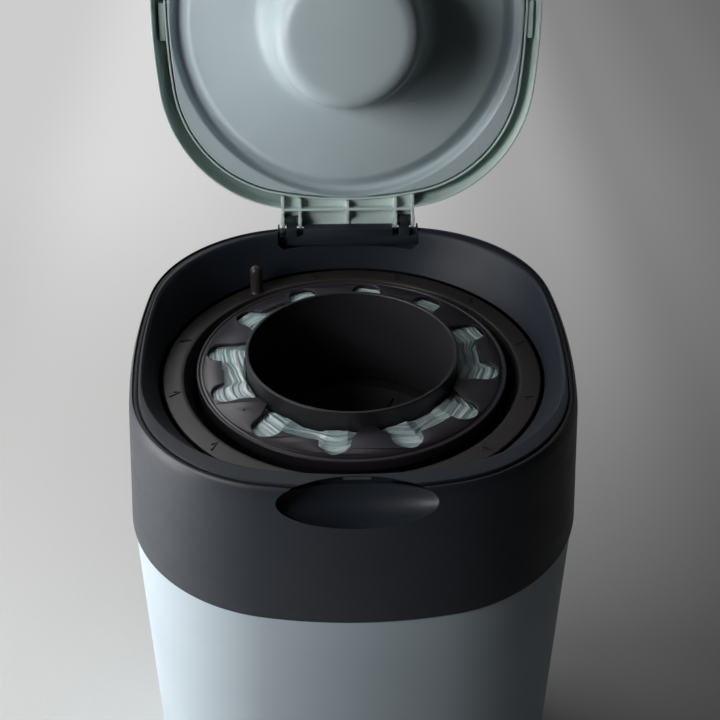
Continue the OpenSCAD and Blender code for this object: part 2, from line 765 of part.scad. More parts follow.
// Height of the underside of the lid's top, over an offset from the rim outline.
function lid_ceiling(o) = lid_top_z - lid_wall - 11.5 - (o + 11) * 0.54;
module lid_shell() {
    inner_edge = lid_out - lid_wall / 2;
    rib_in = rib_out - rib_t;
    color("#93a5a3") open_lid() difference() {
        rim_sweep([
            [-80, lid_top_z - lid_wall],
            [-45, lid_top_z - 1.6 - lid_wall],
            [-23, lid_ceiling(-23)],
            [rib_in, lid_ceiling(rib_in)],
            [rib_in, rim_z + rib_lift],
            [rib_out, rim_z + rib_lift],
            [rib_out, lid_ceiling(rib_out)],
            [-5.2 - lid_wall, lid_top_z - 15.6],
            [-2.2 - lid_wall, lid_top_z - 21.5],
            [-0.8 - lid_wall, lid_top_z - 27.5],
            [inner_edge, lid_edge_z],
            [lid_out, lid_edge_z],
            [lid_out - 0.3, lid_top_z - 27],
            [-2.6, lid_top_z - 20.6],
            [-6, lid_top_z - 14],
            [-11, lid_top_z - 9.3],
            [-22, lid_top_z - 4.6],
            [-45, lid_top_z - 1.6],
            [-80, lid_top_z]
        ], false);
        lid_cut();
    }
}

// Heights above the rim plane: the liner's flat border, the disc's inner and outer edges,
// and the bottom of the round channel.
border_lift = rib_lift + 0.2;
disc_lift = 1.6;
disc_edge_lift = 6.6;
channel_lift = 12.6;
module lid_liner() {
    gap = 0.8;
    border_o = rib_out - rib_t - gap;
    c = channel_r;
    p = plunger_r;
    z0 = rim_z;
    fillet_r = p + 15;
    color("#8b9a9c") open_lid() {
        difference() {
            rim_plate(border_o, z0 + border_lift, liner_wall);
            about_well() translate([0, 0, z0 - 20]) cylinder(h = 60, r = c + 3.4);
        }
        about_well() rotate_extrude() polygon(walled([
            [0, z0 - plunger_reach],
            [p - 15, z0 - plunger_reach],
            [p - 9.4, z0 - plunger_reach + 0.5],
            [p - 4.6, z0 - plunger_reach + 2.8],
            [p - 1.4, z0 - plunger_reach + 7],
            [p, z0 - plunger_reach + 13],
            [p + 2.4, z0 - 14],
            [p + 3.4, z0 - 7.5],
            [p + 6, z0 - 2.2],
            [p + 10, z0 + 0.7],
            [fillet_r, z0 + disc_lift],
            [c - 7.6, z0 + disc_edge_lift],
            [c - 5.2, z0 + disc_edge_lift + 1.8],
            [c - 2.4, z0 + channel_lift - 1.4],
            [c, z0 + channel_lift],
            [c + 2.2, z0 + channel_lift - 1.6],
            [c + 3.6, z0 + border_lift]], liner_wall));
    }
}

module lid_hinge_bracket() {
    plate_t = 2.2;
    plate_lift = 4.8;
    root_y = rim_half_d + rib_out - 4;
    tip_y = lid_axis_y + 5;
    tip_rib_low = plate_lift - 1.4;
    rib_low = 0.6 - lid_axis_lift;
    ribs = [-outer_ear_x, -inner_ear_x, 0, inner_ear_x, outer_ear_x];
    open_y = lid_axis_y - ear_r - 0.6;
    open_l = tip_y - open_y + 1;
    open_h = ear_r + plate_lift + 1;
    color("#9db2ae") open_lid() difference() {
        union() {
            translate([-bracket_half_w, root_y, lid_axis_z + plate_lift])
                cube([2 * bracket_half_w, tip_y - root_y, plate_t]);
            for (x = ribs) translate([x - ear_t / 2, root_y, lid_axis_z + rib_low])
                cube([ear_t, lid_axis_y - root_y, plate_lift - rib_low + 1]);
            for (x = [inner_ear_x, outer_ear_x]) both_sides()
                x_cylinder(x - ear_t / 2, x + ear_t / 2, lid_axis_y, lid_axis_z, ear_r);
            translate([-bracket_half_w, lid_axis_y - 8.2, lid_axis_z - 1])
                cube([2 * bracket_half_w, 1.6, plate_lift + 2]);
            translate([-inner_ear_x, tip_y - 1.8, lid_axis_z + tip_rib_low])
                cube([2 * inner_ear_x, 1.8, 2]);
            translate([-ear_t / 2, lid_axis_y - 1, lid_axis_z + tip_rib_low])
                cube([ear_t, tip_y - lid_axis_y + 1, 2]);
        }
        x_cylinder(-bracket_half_w - 1, bracket_half_w + 1, lid_axis_y, lid_axis_z, ear_bore_r);
        both_sides() translate([inner_ear_x + ear_t / 2, open_y, lid_axis_z + plate_lift - open_h])
            cube([outer_ear_x - inner_ear_x - ear_t, open_l, open_h]);
        rim_plate(rib_out + 0.05, rim_z - 5, lid_rise);
    }
}

clip_l = 22;
clip_y = 8;
module liner_clips() {
    clip_t = 3.4;
    clip_h = 6.2;
    color("#9db2ae") open_lid() both_sides()
        translate([rim_half_w + rib_out + 0.05, clip_y - clip_l / 2, rim_z + rib_lift + 1.2])
            cube([clip_t, clip_l, clip_h]);
}

// The hook hangs from the liner's border and faces the slot in the front of the well.
module latch_hook() {
    hook_t = 2;
    hook_y = mouth_y - mouth_half_d + 3.4;
    low = slot_z - slot_h / 2 - 0.4;
    top = rim_z + border_lift;
    foot_l = 8;
    color("#9db2ae") open_lid() {
        translate([-slot_w / 2 + 1, hook_y, low]) cube([slot_w - 2, hook_t, top - low]);
        translate([-slot_w / 2 + 1, hook_y - 0.6, slot_z - 1]) cube([slot_w - 2, hook_t, 2]);
        translate([-slot_w / 2 - 2, hook_y - 1, top - 1.4]) cube([slot_w + 4, foot_l, 1.4]);
    }
}

// ---- Turntable ----
module turntable() {
    cup_r = cup_in_r + deck_wall;
    neck_out = neck_r - clearance;
    neck_in = neck_out - neck_wall;
    floor_top = cup_floor_z + deck_wall;
    color("#2a2523") about_well() difference() {
        union() {
            rotate_extrude() polygon([
                [neck_in, base_z - 2],
                [neck_out, base_z - 2],
                [neck_out, cup_floor_z],
                [cup_r, cup_floor_z],
                [cup_r, deck_z - 7],
                [hole_r + deck_wall - 0.6, deck_z - 4],
                [hole_r + deck_wall, deck_z - deck_wall],
                [deck_r - 0.4, deck_z - deck_wall - 1],
                [deck_r, deck_z - 1.8],
                [deck_r - 0.8, deck_z - 0.5],
                [hole_r + 2, deck_z],
                [hole_r + 0.5, deck_z - 0.4],
                [hole_r, deck_z - 1.6],
                [cup_in_r, deck_z - 8],
                [cup_in_r, floor_top],
                [neck_in, floor_top]]);
            for (i = [0:notches - 1]) rotate(12.5 + i * 360 / notches) deck_mark();
            for (a = [75:90:345]) rotate(a) cup_catch();
            rotate(peg_turn) translate([peg_ring_r, 0, deck_z - 8]) cylinder(h = 7, r = peg_d / 2 + 0.6);
        }
        rotate(peg_turn) translate([peg_ring_r, 0, deck_z - peg_foot - 0.2])
            cylinder(h = 20, r = peg_stem_r + 0.02);
    }
}
// A raised tick: a long arm and a short one that meet in a point.
module deck_mark() {
    lift = 0.3;
    turn = 24;
    long_arm = mark_l * [cos(turn), sin(turn)];
    short_arm = 0.55 * mark_l * [cos(turn), -sin(turn)];
    across = mark_w * [sin(turn), cos(turn)];
    translate([hole_r + (deck_w - mark_l) / 2, 0, deck_z - 1]) linear_extrude(1 + lift) polygon([
        [0, 0], short_arm, short_arm + across, [mark_w / sin(turn) / 2, 0],
        long_arm + [across.x, -across.y], long_arm]);
}
module cup_catch() {
    reach = cup_in_r - cassette_r - clearance;
    translate([cup_in_r - reach, -cup_catch_w / 2, deck_z - 13]) cube([reach + 1, cup_catch_w, 4]);
}
peg_foot = 5.8;
peg_stem_r = peg_d / 2 - 1;
module grip_peg() {
    top_r = peg_d / 2;
    color("#2a2523") about_well() rotate(peg_turn) translate([peg_ring_r, 0, deck_z + 0.02]) {
        translate([0, 0, -peg_foot]) cylinder(h = peg_foot + 1, r = peg_stem_r);
        rotate_extrude() polygon(concat([[0, 0], [top_r + 0.4, 0], [top_r, 1.6]],
            [for (a = [0:15:90]) [top_r * cos(a), peg_h - top_r + top_r * sin(a)]]));
    }
}

// ---- Refill cassette ----
// The cover rests on the top of the tray's wall.
seat_z = rim_of_cassette_z - 3.2;
module cassette_tray() {
    out_r = cassette_r - 3;
    color("#2b2830") about_well() difference() {
        union() {
            ring(out_r - cassette_wall, out_r, cassette_z, seat_z - cassette_z);
            ring(tube_r - cassette_wall + 0.02, out_r, cassette_z, cassette_wall);
        }
        translate([0, 0, cassette_z - 1]) cylinder(h = 4, r = tube_r + 0.02);
    }
}

module core_tube() {
    top = rim_of_cassette_z + tube_rise;
    w = cassette_wall;
    color("#1f1f22") about_well() rotate_extrude() polygon([
        [tube_r - w, cassette_z], [tube_r, cassette_z], [tube_r, top - 1],
        [tube_r + 0.5, top - 0.5], [tube_r, top], [tube_r - w, top - 0.2], [tube_r - w - 0.2, top - 1]]);
}

// Turn of the first notch from the X axis, degrees.
notch_turn = -8;
// The cover ring: a raised rim, a sloped band, and teeth between rounded notches.
module cassette_cover() {
    t = cassette_wall;
    z = rim_of_cassette_z;
    band_r = cassette_r - 5;
    band_rise = 1.4;
    plate_rise = 2.2;
    long_r = tube_r + long_tooth_gap;
    short_r = tube_r + short_tooth_gap;
    color("#2b2830") about_well() {
        difference() {
            rotate_extrude() polygon([
                [cassette_r, z - 6.5], [cassette_r, z - 0.6], [cassette_r - 0.6, z],
                [cassette_r - 1.4, z], [cassette_r - 2, z - 0.8], [cassette_r - 3, z - 0.4],
                [band_r, z + band_rise], [long_r, z + plate_rise], [long_r, z + plate_rise - t],
                [band_r, z + band_rise - t], [band_r, seat_z], [cassette_r - t, seat_z],
                [cassette_r - t, z - 6.5]]);
            for (i = [0:notches - 1]) rotate(i * 360 / notches + notch_turn) notch_space();
            for (i = [0:2:notches - 1]) rotate((i + 0.5) * 360 / notches + notch_turn)
                translate([0, 0, z - 6]) ring_sector(long_r - 1, short_r, 360 / notches);
        }
    }
}
module notch_space() {
    r_end = cassette_r - notch_margin - notch_w / 2;
    translate([r_end, 0, rim_of_cassette_z - 8]) cylinder(h = 12, r = notch_w / 2, $fn = 40);
    translate([tube_r - 6, -notch_w / 2, rim_of_cassette_z - 8]) cube([r_end - tube_r + 6, notch_w, 12]);
}
module ring_sector(r0, r1, span) {
    intersection() {
        ring(r0, r1, 0, 10);
        translate([0, 0, -1]) linear_extrude(12)
            polygon([[0, 0], [2 * r1 * cos(span / 2), -2 * r1 * sin(span / 2)],
                     [2 * r1 * cos(span / 2), 2 * r1 * sin(span / 2)]]);
    }
}

module film_pack() {
    top = rim_of_cassette_z - 2.4;
    low = cassette_z + cassette_wall + film_gap;
    color("#b9c7c8") about_well() rotate_extrude() polygon([
        [film_in_r, low], [film_out_r, low], [film_out_r, top - 4], [film_out_r - 3, top - 0.8],
        [(film_in_r + film_out_r) / 2, top], [film_in_r + 2, top - 0.6], [film_in_r, top - 3]]);
}

tub();
foot_pads();
tub_hinge();
rear_hinge_pin();
head_shell();
finger_scoop();
well_liner();
rim_seal();
head_base();
screw_posts();
base_screws();
head_hinge();
lid_hinge_block();
lid_hinge_pin();
film_gripper();
gripper_ring();
glide_pads();
cutter_guard();
cutter_blade();
left_button_spring();
right_button_spring();
left_release_button();
right_release_button();
lid_shell();
lid_liner();
lid_hinge_bracket();
liner_clips();
latch_hook();
turntable();
grip_peg();
cassette_tray();
cassette_cover();
core_tube();
film_pack();
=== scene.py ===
import json
from math import pi, radians

import bmesh
import bpy
import numpy as np
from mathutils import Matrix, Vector


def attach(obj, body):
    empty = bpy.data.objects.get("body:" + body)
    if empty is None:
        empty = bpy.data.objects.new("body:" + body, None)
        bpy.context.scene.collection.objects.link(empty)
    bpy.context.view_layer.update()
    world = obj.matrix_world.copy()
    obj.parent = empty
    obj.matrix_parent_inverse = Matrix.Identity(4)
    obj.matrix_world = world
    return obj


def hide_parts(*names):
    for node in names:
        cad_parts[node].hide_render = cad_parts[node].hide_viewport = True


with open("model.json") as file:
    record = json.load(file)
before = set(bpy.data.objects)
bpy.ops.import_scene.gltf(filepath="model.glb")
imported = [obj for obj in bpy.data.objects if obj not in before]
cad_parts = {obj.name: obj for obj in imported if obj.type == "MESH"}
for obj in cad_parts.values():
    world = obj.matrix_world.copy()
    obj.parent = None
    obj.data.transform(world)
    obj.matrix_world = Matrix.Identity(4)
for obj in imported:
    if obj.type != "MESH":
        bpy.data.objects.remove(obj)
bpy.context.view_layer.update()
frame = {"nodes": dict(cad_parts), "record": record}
nodes = frame["nodes"]
mm = 0.001
print("frame:", len(nodes), "nodes")

# The rim outline that the tub, head and lid share, in millimetres, and the well's own axis.
rim = {
    "z": 370.0,
    "halfW": 118.4,
    "halfD": 127.4,
    "sideR": 425.0,
    "frontR": 241.0,
    "cornerR": 85.3,
    "arcSteps": (10, 44, 24),
    "wellY": 9.6,
}


# A quarter of the outline is three tangent arcs, centre + radius * (cos t, sin t): side, corner and front.
# Mirroring it in X, in both and in Y closes the ring. An offset grows every radius, so rings stay parallel.
def outline(offset=0.0, halfW=rim["halfW"], halfD=rim["halfD"]):
    w, d = halfW + offset, halfD + offset
    sideR, frontR, cornerR = (rim[k] + offset for k in ("sideR", "frontR", "cornerR"))
    sideC, frontC = np.array([w - sideR, 0.0]), np.array([0.0, d - frontR])
    gap = np.linalg.norm(frontC - sideC)
    along = (gap**2 + (sideR - cornerR) ** 2 - (frontR - cornerR) ** 2) / (2 * gap)
    across = np.sqrt((sideR - cornerR) ** 2 - along**2)
    e = (frontC - sideC) / gap
    cornerC = max((sideC + along * e + s * across * np.array([e[1], -e[0]]) for s in (1, -1)), key=min)
    t1 = np.arctan2(cornerC[1], cornerC[0] - sideC[0])
    t2 = np.arctan2(cornerC[1] - frontC[1], cornerC[0])
    n1, n2, n3 = rim["arcSteps"]
    spans = (
        (sideC, sideR, np.linspace(0, t1, n1, endpoint=False)),
        (cornerC, cornerR, np.linspace(t1, t2, n2, endpoint=False)),
        (frontC, frontR, np.linspace(t2, pi / 2, n3 + 1)),
    )
    q = np.concatenate([c + r * np.stack([np.cos(t), np.sin(t)], -1) for c, r, t in spans])
    back = q[:0:-1]
    return np.concatenate([q[:-1], back * (-1, 1), -q[:-1], back * (1, -1)])


# One ring of points at a height: the outline's own x, y and a constant z.
def ringAt(offset, z, halfW=rim["halfW"], halfD=rim["halfD"], shiftY=0.0):
    xy = outline(offset, halfW, halfD) + (0, shiftY)
    return np.column_stack([xy, np.full(len(xy), z)])


# A circle about the well's axis with one point for each outline point, at that point's own angle.
def circleAt(r, z, shape=None):
    xy = (outline() if shape is None else shape) - (0, rim["wellY"])
    t = np.arctan2(xy[:, 1], xy[:, 0])
    return np.column_stack([r * np.cos(t), rim["wellY"] + r * np.sin(t), np.full(len(t), z)])


# Rounds the corners of a stack of rows. Each corner p gives way to (1-t)^2 a + 2t(1-t) p + t^2 b,
# where a and b lie on its two sides at the given radius, or nearer where a side is short.
def roundRows(rows, radius, closed=True, steps=5):
    rows = np.asarray(rows, float)
    radius = np.broadcast_to(np.asarray(radius, float), len(rows))
    before, after = np.roll(rows, 1, 0) - rows, np.roll(rows, -1, 0) - rows
    t = np.linspace(0, 1, steps + 1)
    out = []
    for i, p in enumerate(rows):
        if radius[i] <= 0 or (not closed and i in (0, len(rows) - 1)):
            out.append(p[None])
            continue
        la = np.linalg.norm(before[i], axis=-1, keepdims=True)
        lb = np.linalg.norm(after[i], axis=-1, keepdims=True)
        reach = np.minimum(radius[i], 0.46 * np.minimum(la, lb))  # just under half, so two corners never meet
        a, b = p + before[i] / la * reach, p + after[i] / lb * reach
        k = t.reshape((-1,) + (1,) * p.ndim)
        out.append((1 - k) ** 2 * a + 2 * k * (1 - k) * p + k**2 * b)
    return np.concatenate(out)


# A section is a list of (offset from the rim outline, z, corner radius): each entry is swept round as a ring.
def sweptRound(section, closed=True, steps=5):
    rings = [ringAt(offset, z) for offset, z, r in section]
    return roundRows(rings, [r for offset, z, r in section], closed, steps)


# Quad (i, k) of a grid joins the points (i, k), (i, k+1), (i+1, k+1) and (i+1, k).
def gridFaces(rows, cols, wrapRows=False, wrapCols=True):
    i = np.arange(rows if wrapRows else rows - 1)[:, None]
    k = np.arange(cols if wrapCols else cols - 1)[None, :]
    i1, k1 = (i + 1) % rows, (k + 1) % cols
    quads = [i * cols + k, i * cols + k1, i1 * cols + k1, i1 * cols + k]
    return np.stack(quads, -1).reshape(-1, 4).tolist()


# Merges what coincides and turns every face outwards.
def cleanMesh(mesh, merge=1e-6):
    bm = bmesh.new()
    bm.from_mesh(mesh)
    bmesh.ops.remove_doubles(bm, verts=bm.verts, dist=merge)
    bmesh.ops.dissolve_degenerate(bm, edges=bm.edges, dist=1e-7)
    bmesh.ops.recalc_face_normals(bm, faces=bm.faces)
    bm.to_mesh(mesh)
    bm.free()


# A mesh or curve as an object of the scene, at the origin.
def pieceOf(name, mesh):
    piece = bpy.data.objects.new(name, mesh)
    bpy.context.scene.collection.objects.link(piece)
    return piece


# A piece from points in millimetres and faces that are lists of point numbers.
def meshFrom(name, points, faces):
    mesh = bpy.data.meshes.new(name)
    mesh.from_pydata((np.asarray(points).reshape(-1, 3) * mm).tolist(), [], faces)
    cleanMesh(mesh)
    return pieceOf(name, mesh)


# Skins a stack of rings. A closed stack joins its last ring to its first; an open one gets flat ends,
# or ends at a pole where the ring has no radius.
def skin(name, rings, closed=True):
    rings = np.asarray(rings)
    m, n = rings.shape[:2]
    faces = gridFaces(m, n, wrapRows=closed)
    if not closed:
        for row in (0, m - 1):
            if np.ptp(rings[row], axis=0).max() > 1e-6:
                faces.append([row * n + k for k in range(n)])
    return meshFrom(name, rings, faces)


# A profile of (radius, z) turned about an upright axis: (x + r cos t, y + r sin t, z).
def revolved(profile, cols=288, centre=(0.0, rim["wellY"])):
    profile = np.asarray(profile, float)
    t = np.arange(cols) * 2 * pi / cols
    r, z = profile[:, :1], profile[:, 1:2]
    return np.stack([centre[0] + r * np.cos(t), centre[1] + r * np.sin(t), z + 0 * t], -1)


# A section of (radius, z, corner radius) with its corners rounded.
def rounded(section, closed=True, steps=5):
    return roundRows([(r, z) for r, z, k in section], [k for r, z, k in section], closed, steps)


# The points of a mesh in millimetres, as one array, and the way back.
def readPoints(mesh):
    co = np.zeros(len(mesh.vertices) * 3, np.float32)
    mesh.vertices.foreach_get("co", co)
    return co.reshape(-1, 3) / mm


def writePoints(mesh, points):
    mesh.vertices.foreach_set("co", (points * mm).astype(np.float32).ravel())


# Smooth shading, with edges kept sharp where two faces meet at more than the angle.
def shade(piece, sharpDeg=34):
    mesh = piece.data
    mesh.polygons.foreach_set("use_smooth", np.ones(len(mesh.polygons), bool))
    mesh.set_sharp_from_angle(angle=radians(sharpDeg))
    mesh.update()


# The mesh of a piece as its modifiers, or a curve's fill and bevel, leave it.
def finishedMesh(piece):
    return bpy.data.meshes.new_from_object(piece.evaluated_get(bpy.context.evaluated_depsgraph_get()))


def applyModifiers(piece):
    made = finishedMesh(piece)
    piece.modifiers.clear()
    piece.data = made


# Cuts each tool out of the piece, or keeps only what lies inside the tools named last.
def carve(piece, away=(), within=()):
    for tool in [*within, *away]:
        cut = piece.modifiers.new("carve", "BOOLEAN")
        cut.operation = "INTERSECT" if tool in within else "DIFFERENCE"
        cut.solver = "EXACT"
        cut.object = tool
    applyModifiers(piece)
    for tool in {*away, *within}:
        bpy.data.objects.remove(tool)
    cleanMesh(piece.data)


# A box between two corners, for cutting.
def block(lo, hi):
    x, y, z = zip(lo, hi)
    points = [(x[i], y[j], z[k]) for i in (0, 1) for j in (0, 1) for k in (0, 1)]
    faces = [(0, 1, 3, 2), (4, 6, 7, 5), (0, 4, 5, 1), (2, 3, 7, 6), (0, 2, 6, 4), (1, 5, 7, 3)]
    return meshFrom("blockTool", points, faces)


# Turns points about an X line through (y, z): y' = y cos a - z sin a, z' = y sin a + z cos a.
def tip(points, angleDeg, y, z):
    p = np.array(points, float)
    a = radians(angleDeg)
    dy, dz = p[..., 1] - y, p[..., 2] - z
    p[..., 1] = y + dy * np.cos(a) - dz * np.sin(a)
    p[..., 2] = z + dy * np.sin(a) + dz * np.cos(a)
    return p


# Ends a piece: its shading and material, the body it rides on, and the CAD nodes it stands for.
def place(piece, body, replaced, material, sharpDeg=34):
    shade(piece, sharpDeg)
    piece.data.materials.clear()
    piece.data.materials.append(material)
    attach(piece, body)
    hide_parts(*replaced)


# Materials. A colour is written as sRGB hex and turned to linear here.
def linear(code):
    c = np.array([int(code[i : i + 2], 16) / 255 for i in (1, 3, 5)])
    return (*np.where(c <= 0.04045, c / 12.92, ((c + 0.055) / 1.055) ** 2.4), 1.0)


# Gives a node its inputs: an output socket is linked, and anything else becomes the input's own value.
def feed(tree, node, inputs):
    for key, value in inputs.items():
        if isinstance(value, bpy.types.NodeSocket):
            tree.links.new(value, node.inputs[key])
        else:
            node.inputs[key].default_value = value


# Adds one node with its settings and its inputs.
def addNode(tree, kind, inputs=None, **settings):
    node = tree.nodes.new(kind)
    for key, value in settings.items():
        setattr(node, key, value)
    feed(tree, node, inputs or {})
    return node


# A new material with its node tree and its shader.
def newMaterial(name):
    material = bpy.data.materials.new(name)
    material.use_nodes = True
    return material, material.node_tree, material.node_tree.nodes["Principled BSDF"]


# Injection moulded plastic. The tool's spark-eroded skin leaves a fine grain that breaks up the gloss, the
# melt leaves a faint drift of tone, and hands leave scuffs that are rougher than the skin round them.
# The real grain is near 0.1 mm across, too fine to show, so it is drawn about nine times coarser.
def mouldedPlastic(name, look):
    material, tree, shader = newMaterial(name)
    spot = addNode(tree, "ShaderNodeTexCoord").outputs["Object"]
    drift = addNode(
        tree, "ShaderNodeTexNoise",
        {"Vector": spot, "Scale": 1000 / look["driftMm"], "Detail": 3.0, "Roughness": 0.6},
    )
    drifted = addNode(
        tree, "ShaderNodeMapRange", {"Value": drift.outputs["Fac"], "From Min": 0.36, "From Max": 0.64}
    )
    tone = addNode(
        tree, "ShaderNodeMix",
        {"Factor": drifted.outputs["Result"], "A": linear(look["colour"]), "B": linear(look["drift"])},
        data_type="RGBA",
    )
    speck = addNode(
        tree, "ShaderNodeTexNoise", {"Vector": spot, "Scale": 1000 / look["speckMm"], "Detail": 2.0}
    )
    specked = addNode(
        tree, "ShaderNodeMapRange",
        {"Value": speck.outputs["Fac"], "From Min": 0.58, "From Max": 0.74, "To Max": look["speck"]},
    )
    tone = addNode(
        tree, "ShaderNodeMix",
        {"Factor": specked.outputs["Result"], "A": tone.outputs["Result"], "B": linear(look["speckColour"])},
        data_type="RGBA",
    )
    # Scuffs run longer one way than the other, at a slant.
    slant = addNode(
        tree, "ShaderNodeMapping", {"Vector": spot, "Scale": (1.0, 0.35, 1.6), "Rotation": (0.3, 0.5, 0.8)}
    )
    scuff = addNode(
        tree, "ShaderNodeTexNoise",
        {"Vector": slant.outputs["Vector"], "Scale": 1000 / look["scuffMm"], "Detail": 4.0, "Roughness": 0.7},
    )
    low, high = look["roughness"] - look["scuff"], look["roughness"] + look["scuff"]
    rough = addNode(
        tree, "ShaderNodeMapRange",
        {"Value": scuff.outputs["Fac"], "From Min": 0.3, "From Max": 0.75, "To Min": low, "To Max": high},
    )
    grain = addNode(
        tree, "ShaderNodeTexNoise",
        {"Vector": spot, "Scale": 1000 / look["grainMm"], "Detail": 2.0, "Roughness": 0.55},
    )
    bump = addNode(
        tree, "ShaderNodeBump",
        {"Height": grain.outputs["Fac"], "Strength": look["grainDepth"], "Distance": 0.2 * mm},
    )
    feed(tree, shader, {
        "Base Color": tone.outputs["Result"],
        "Roughness": rough.outputs["Result"],
        "Normal": bump.outputs["Normal"],
        "IOR": look["ior"],
        "Specular IOR Level": look["specular"],
    })
    return material


# What all the plastics share. Polypropylene's index of refraction is 1.49.
plain = {
    "driftMm": 60,
    "speckMm": 2.2,
    "speck": 0.12,
    "scuffMm": 14,
    "scuff": 0.05,
    "grainMm": 0.9,
    "grainDepth": 0.12,
    "ior": 1.49,
    "specular": 0.5,
}
looks = {
    # Tub: moulded against a satin tool, pale blue-grey with a soft broad sheen.
    "tub": {
        **plain, "colour": "#cfdde7", "drift": "#cad9e3", "speckColour": "#dae5ec", "roughness": 0.42,
    },
    # Head: the same resin with carbon and navy pigment, and a deeper grain that keeps it matte.
    "head": {
        **plain, "colour": "#2e343e", "drift": "#2a303a", "speckColour": "#414854", "roughness": 0.47,
        "grainDepth": 0.2, "specular": 0.6,
    },
    # Well: a shade darker and duller than the head, because hands seldom polish it.
    "well": {
        **plain, "colour": "#262c35", "drift": "#222831", "speckColour": "#383f49", "roughness": 0.52,
        "specular": 0.36,
    },
    # Works under the head: black regrind, dull.
    "inner": {
        **plain, "colour": "#26272b", "drift": "#222327", "speckColour": "#36373b", "roughness": 0.55,
    },
    # Turning deck: warm brown black, smoother, with dust in its grain.
    "deck": {
        **plain, "colour": "#35302f", "drift": "#302b2a", "speckColour": "#4d4643", "roughness": 0.4,
        "speck": 0.25,
    },
    # Refill cassette: a thin bought-in moulding, purple brown black, a little glossier.
    "cassette": {
        **plain, "colour": "#353038", "drift": "#302b33", "speckColour": "#4b454e", "roughness": 0.36,
        "grainDepth": 0.07,
    },
    # Core tube: a plain extrusion, a shade darker and duller than the cover round it.
    "tube": {
        **plain, "colour": "#2d2c30", "drift": "#29282c", "speckColour": "#3d3b40", "roughness": 0.42,
        "grainDepth": 0.07,
    },
    # Lid: sage; its liner is the same resin with more grey.
    "lid": {
        **plain, "colour": "#c0d0cc", "drift": "#bacbc7", "speckColour": "#ccdad6", "roughness": 0.42,
    },
    "liner": {
        **plain, "colour": "#b1bfc3", "drift": "#acbabf", "speckColour": "#becacd", "roughness": 0.38,
        "grainDepth": 0.07,
    },
    # Glide pads: milky and waxy.
    "glide": {
        **plain, "colour": "#e6e5df", "drift": "#dddcd6", "speckColour": "#f0efea", "roughness": 0.3,
    },
}
finishes = {key: mouldedPlastic(key + "Polypropylene", look) for key, look in looks.items()}


# Rubber: moulded without gloss, dusty where it has been wiped, its surface pitted like fine leather.
# Real pits are near 0.2 mm and are drawn five times coarser so that they show.
def mouldedRubber(name, look):
    material, tree, shader = newMaterial(name)
    spot = addNode(tree, "ShaderNodeTexCoord").outputs["Object"]
    dust = addNode(
        tree, "ShaderNodeTexNoise",
        {"Vector": spot, "Scale": 1000 / look["dustMm"], "Detail": 5.0, "Roughness": 0.65},
    )
    dusty = addNode(
        tree, "ShaderNodeMapRange",
        {"Value": dust.outputs["Fac"], "From Min": 0.42, "From Max": 0.72, "To Max": look["dust"]},
    )
    tone = addNode(
        tree, "ShaderNodeMix",
        {"Factor": dusty.outputs["Result"], "A": linear(look["colour"]), "B": linear(look["dustColour"])},
        data_type="RGBA",
    )
    pits = addNode(tree, "ShaderNodeTexVoronoi", {"Vector": spot, "Scale": 1000 / look["pitMm"]})
    bump = addNode(
        tree, "ShaderNodeBump", {"Height": pits.outputs["Distance"], "Strength": 0.15, "Distance": 0.2 * mm}
    )
    feed(tree, shader, {
        "Base Color": tone.outputs["Result"],
        "Normal": bump.outputs["Normal"],
        "Roughness": look["roughness"],
        "IOR": 1.52,
    })
    return material


finishes["seal"] = mouldedRubber("sealRubber", {
    "colour": "#1c1c1e", "dustColour": "#3a3a3c", "dust": 0.4, "dustMm": 9, "pitMm": 1.0, "roughness": 0.62,
})
finishes["foot"] = mouldedRubber("footRubber", {
    "colour": "#3a3a3a", "dustColour": "#5a5856", "dust": 0.5, "dustMm": 7, "pitMm": 1.2, "roughness": 0.75,
})
finishes["grip"] = mouldedRubber("gripperElastomer", {
    "colour": "#3d3a39", "dustColour": "#55514f", "dust": 0.3, "dustMm": 8, "pitMm": 1.0, "roughness": 0.55,
})


# Drawn steel: a bright grey metal whose draw marks run along the part and spread the highlight.
# The marks are a few hundredths of a millimetre apart in life and are drawn at 0.8 mm.
def drawnSteel(name, look):
    material, tree, shader = newMaterial(name)
    spot = addNode(tree, "ShaderNodeTexCoord").outputs["Object"]
    drawn = addNode(tree, "ShaderNodeMapping", {"Vector": spot, "Scale": (0.04, 1.0, 1.0)})
    marks = addNode(
        tree, "ShaderNodeTexNoise",
        {"Vector": drawn.outputs["Vector"], "Scale": 1000 / look["markMm"], "Detail": 3.0},
    )
    low, high = look["roughness"] - 0.08, look["roughness"] + 0.12
    rough = addNode(
        tree, "ShaderNodeMapRange", {"Value": marks.outputs["Fac"], "To Min": low, "To Max": high}
    )
    tone = addNode(
        tree, "ShaderNodeMix",
        {"Factor": marks.outputs["Fac"], "A": linear(look["colour"]), "B": linear(look["mark"])},
        data_type="RGBA",
    )
    bump = addNode(
        tree, "ShaderNodeBump", {"Height": marks.outputs["Fac"], "Strength": 0.1, "Distance": 0.1 * mm}
    )
    feed(tree, shader, {
        "Base Color": tone.outputs["Result"],
        "Roughness": rough.outputs["Result"],
        "Normal": bump.outputs["Normal"],
        "Metallic": 1.0,
    })
    return material


finishes["steel"] = drawnSteel("drawnSteel", {
    "colour": "#c9cacd", "mark": "#b2b3b6", "markMm": 0.8, "roughness": 0.3,
})
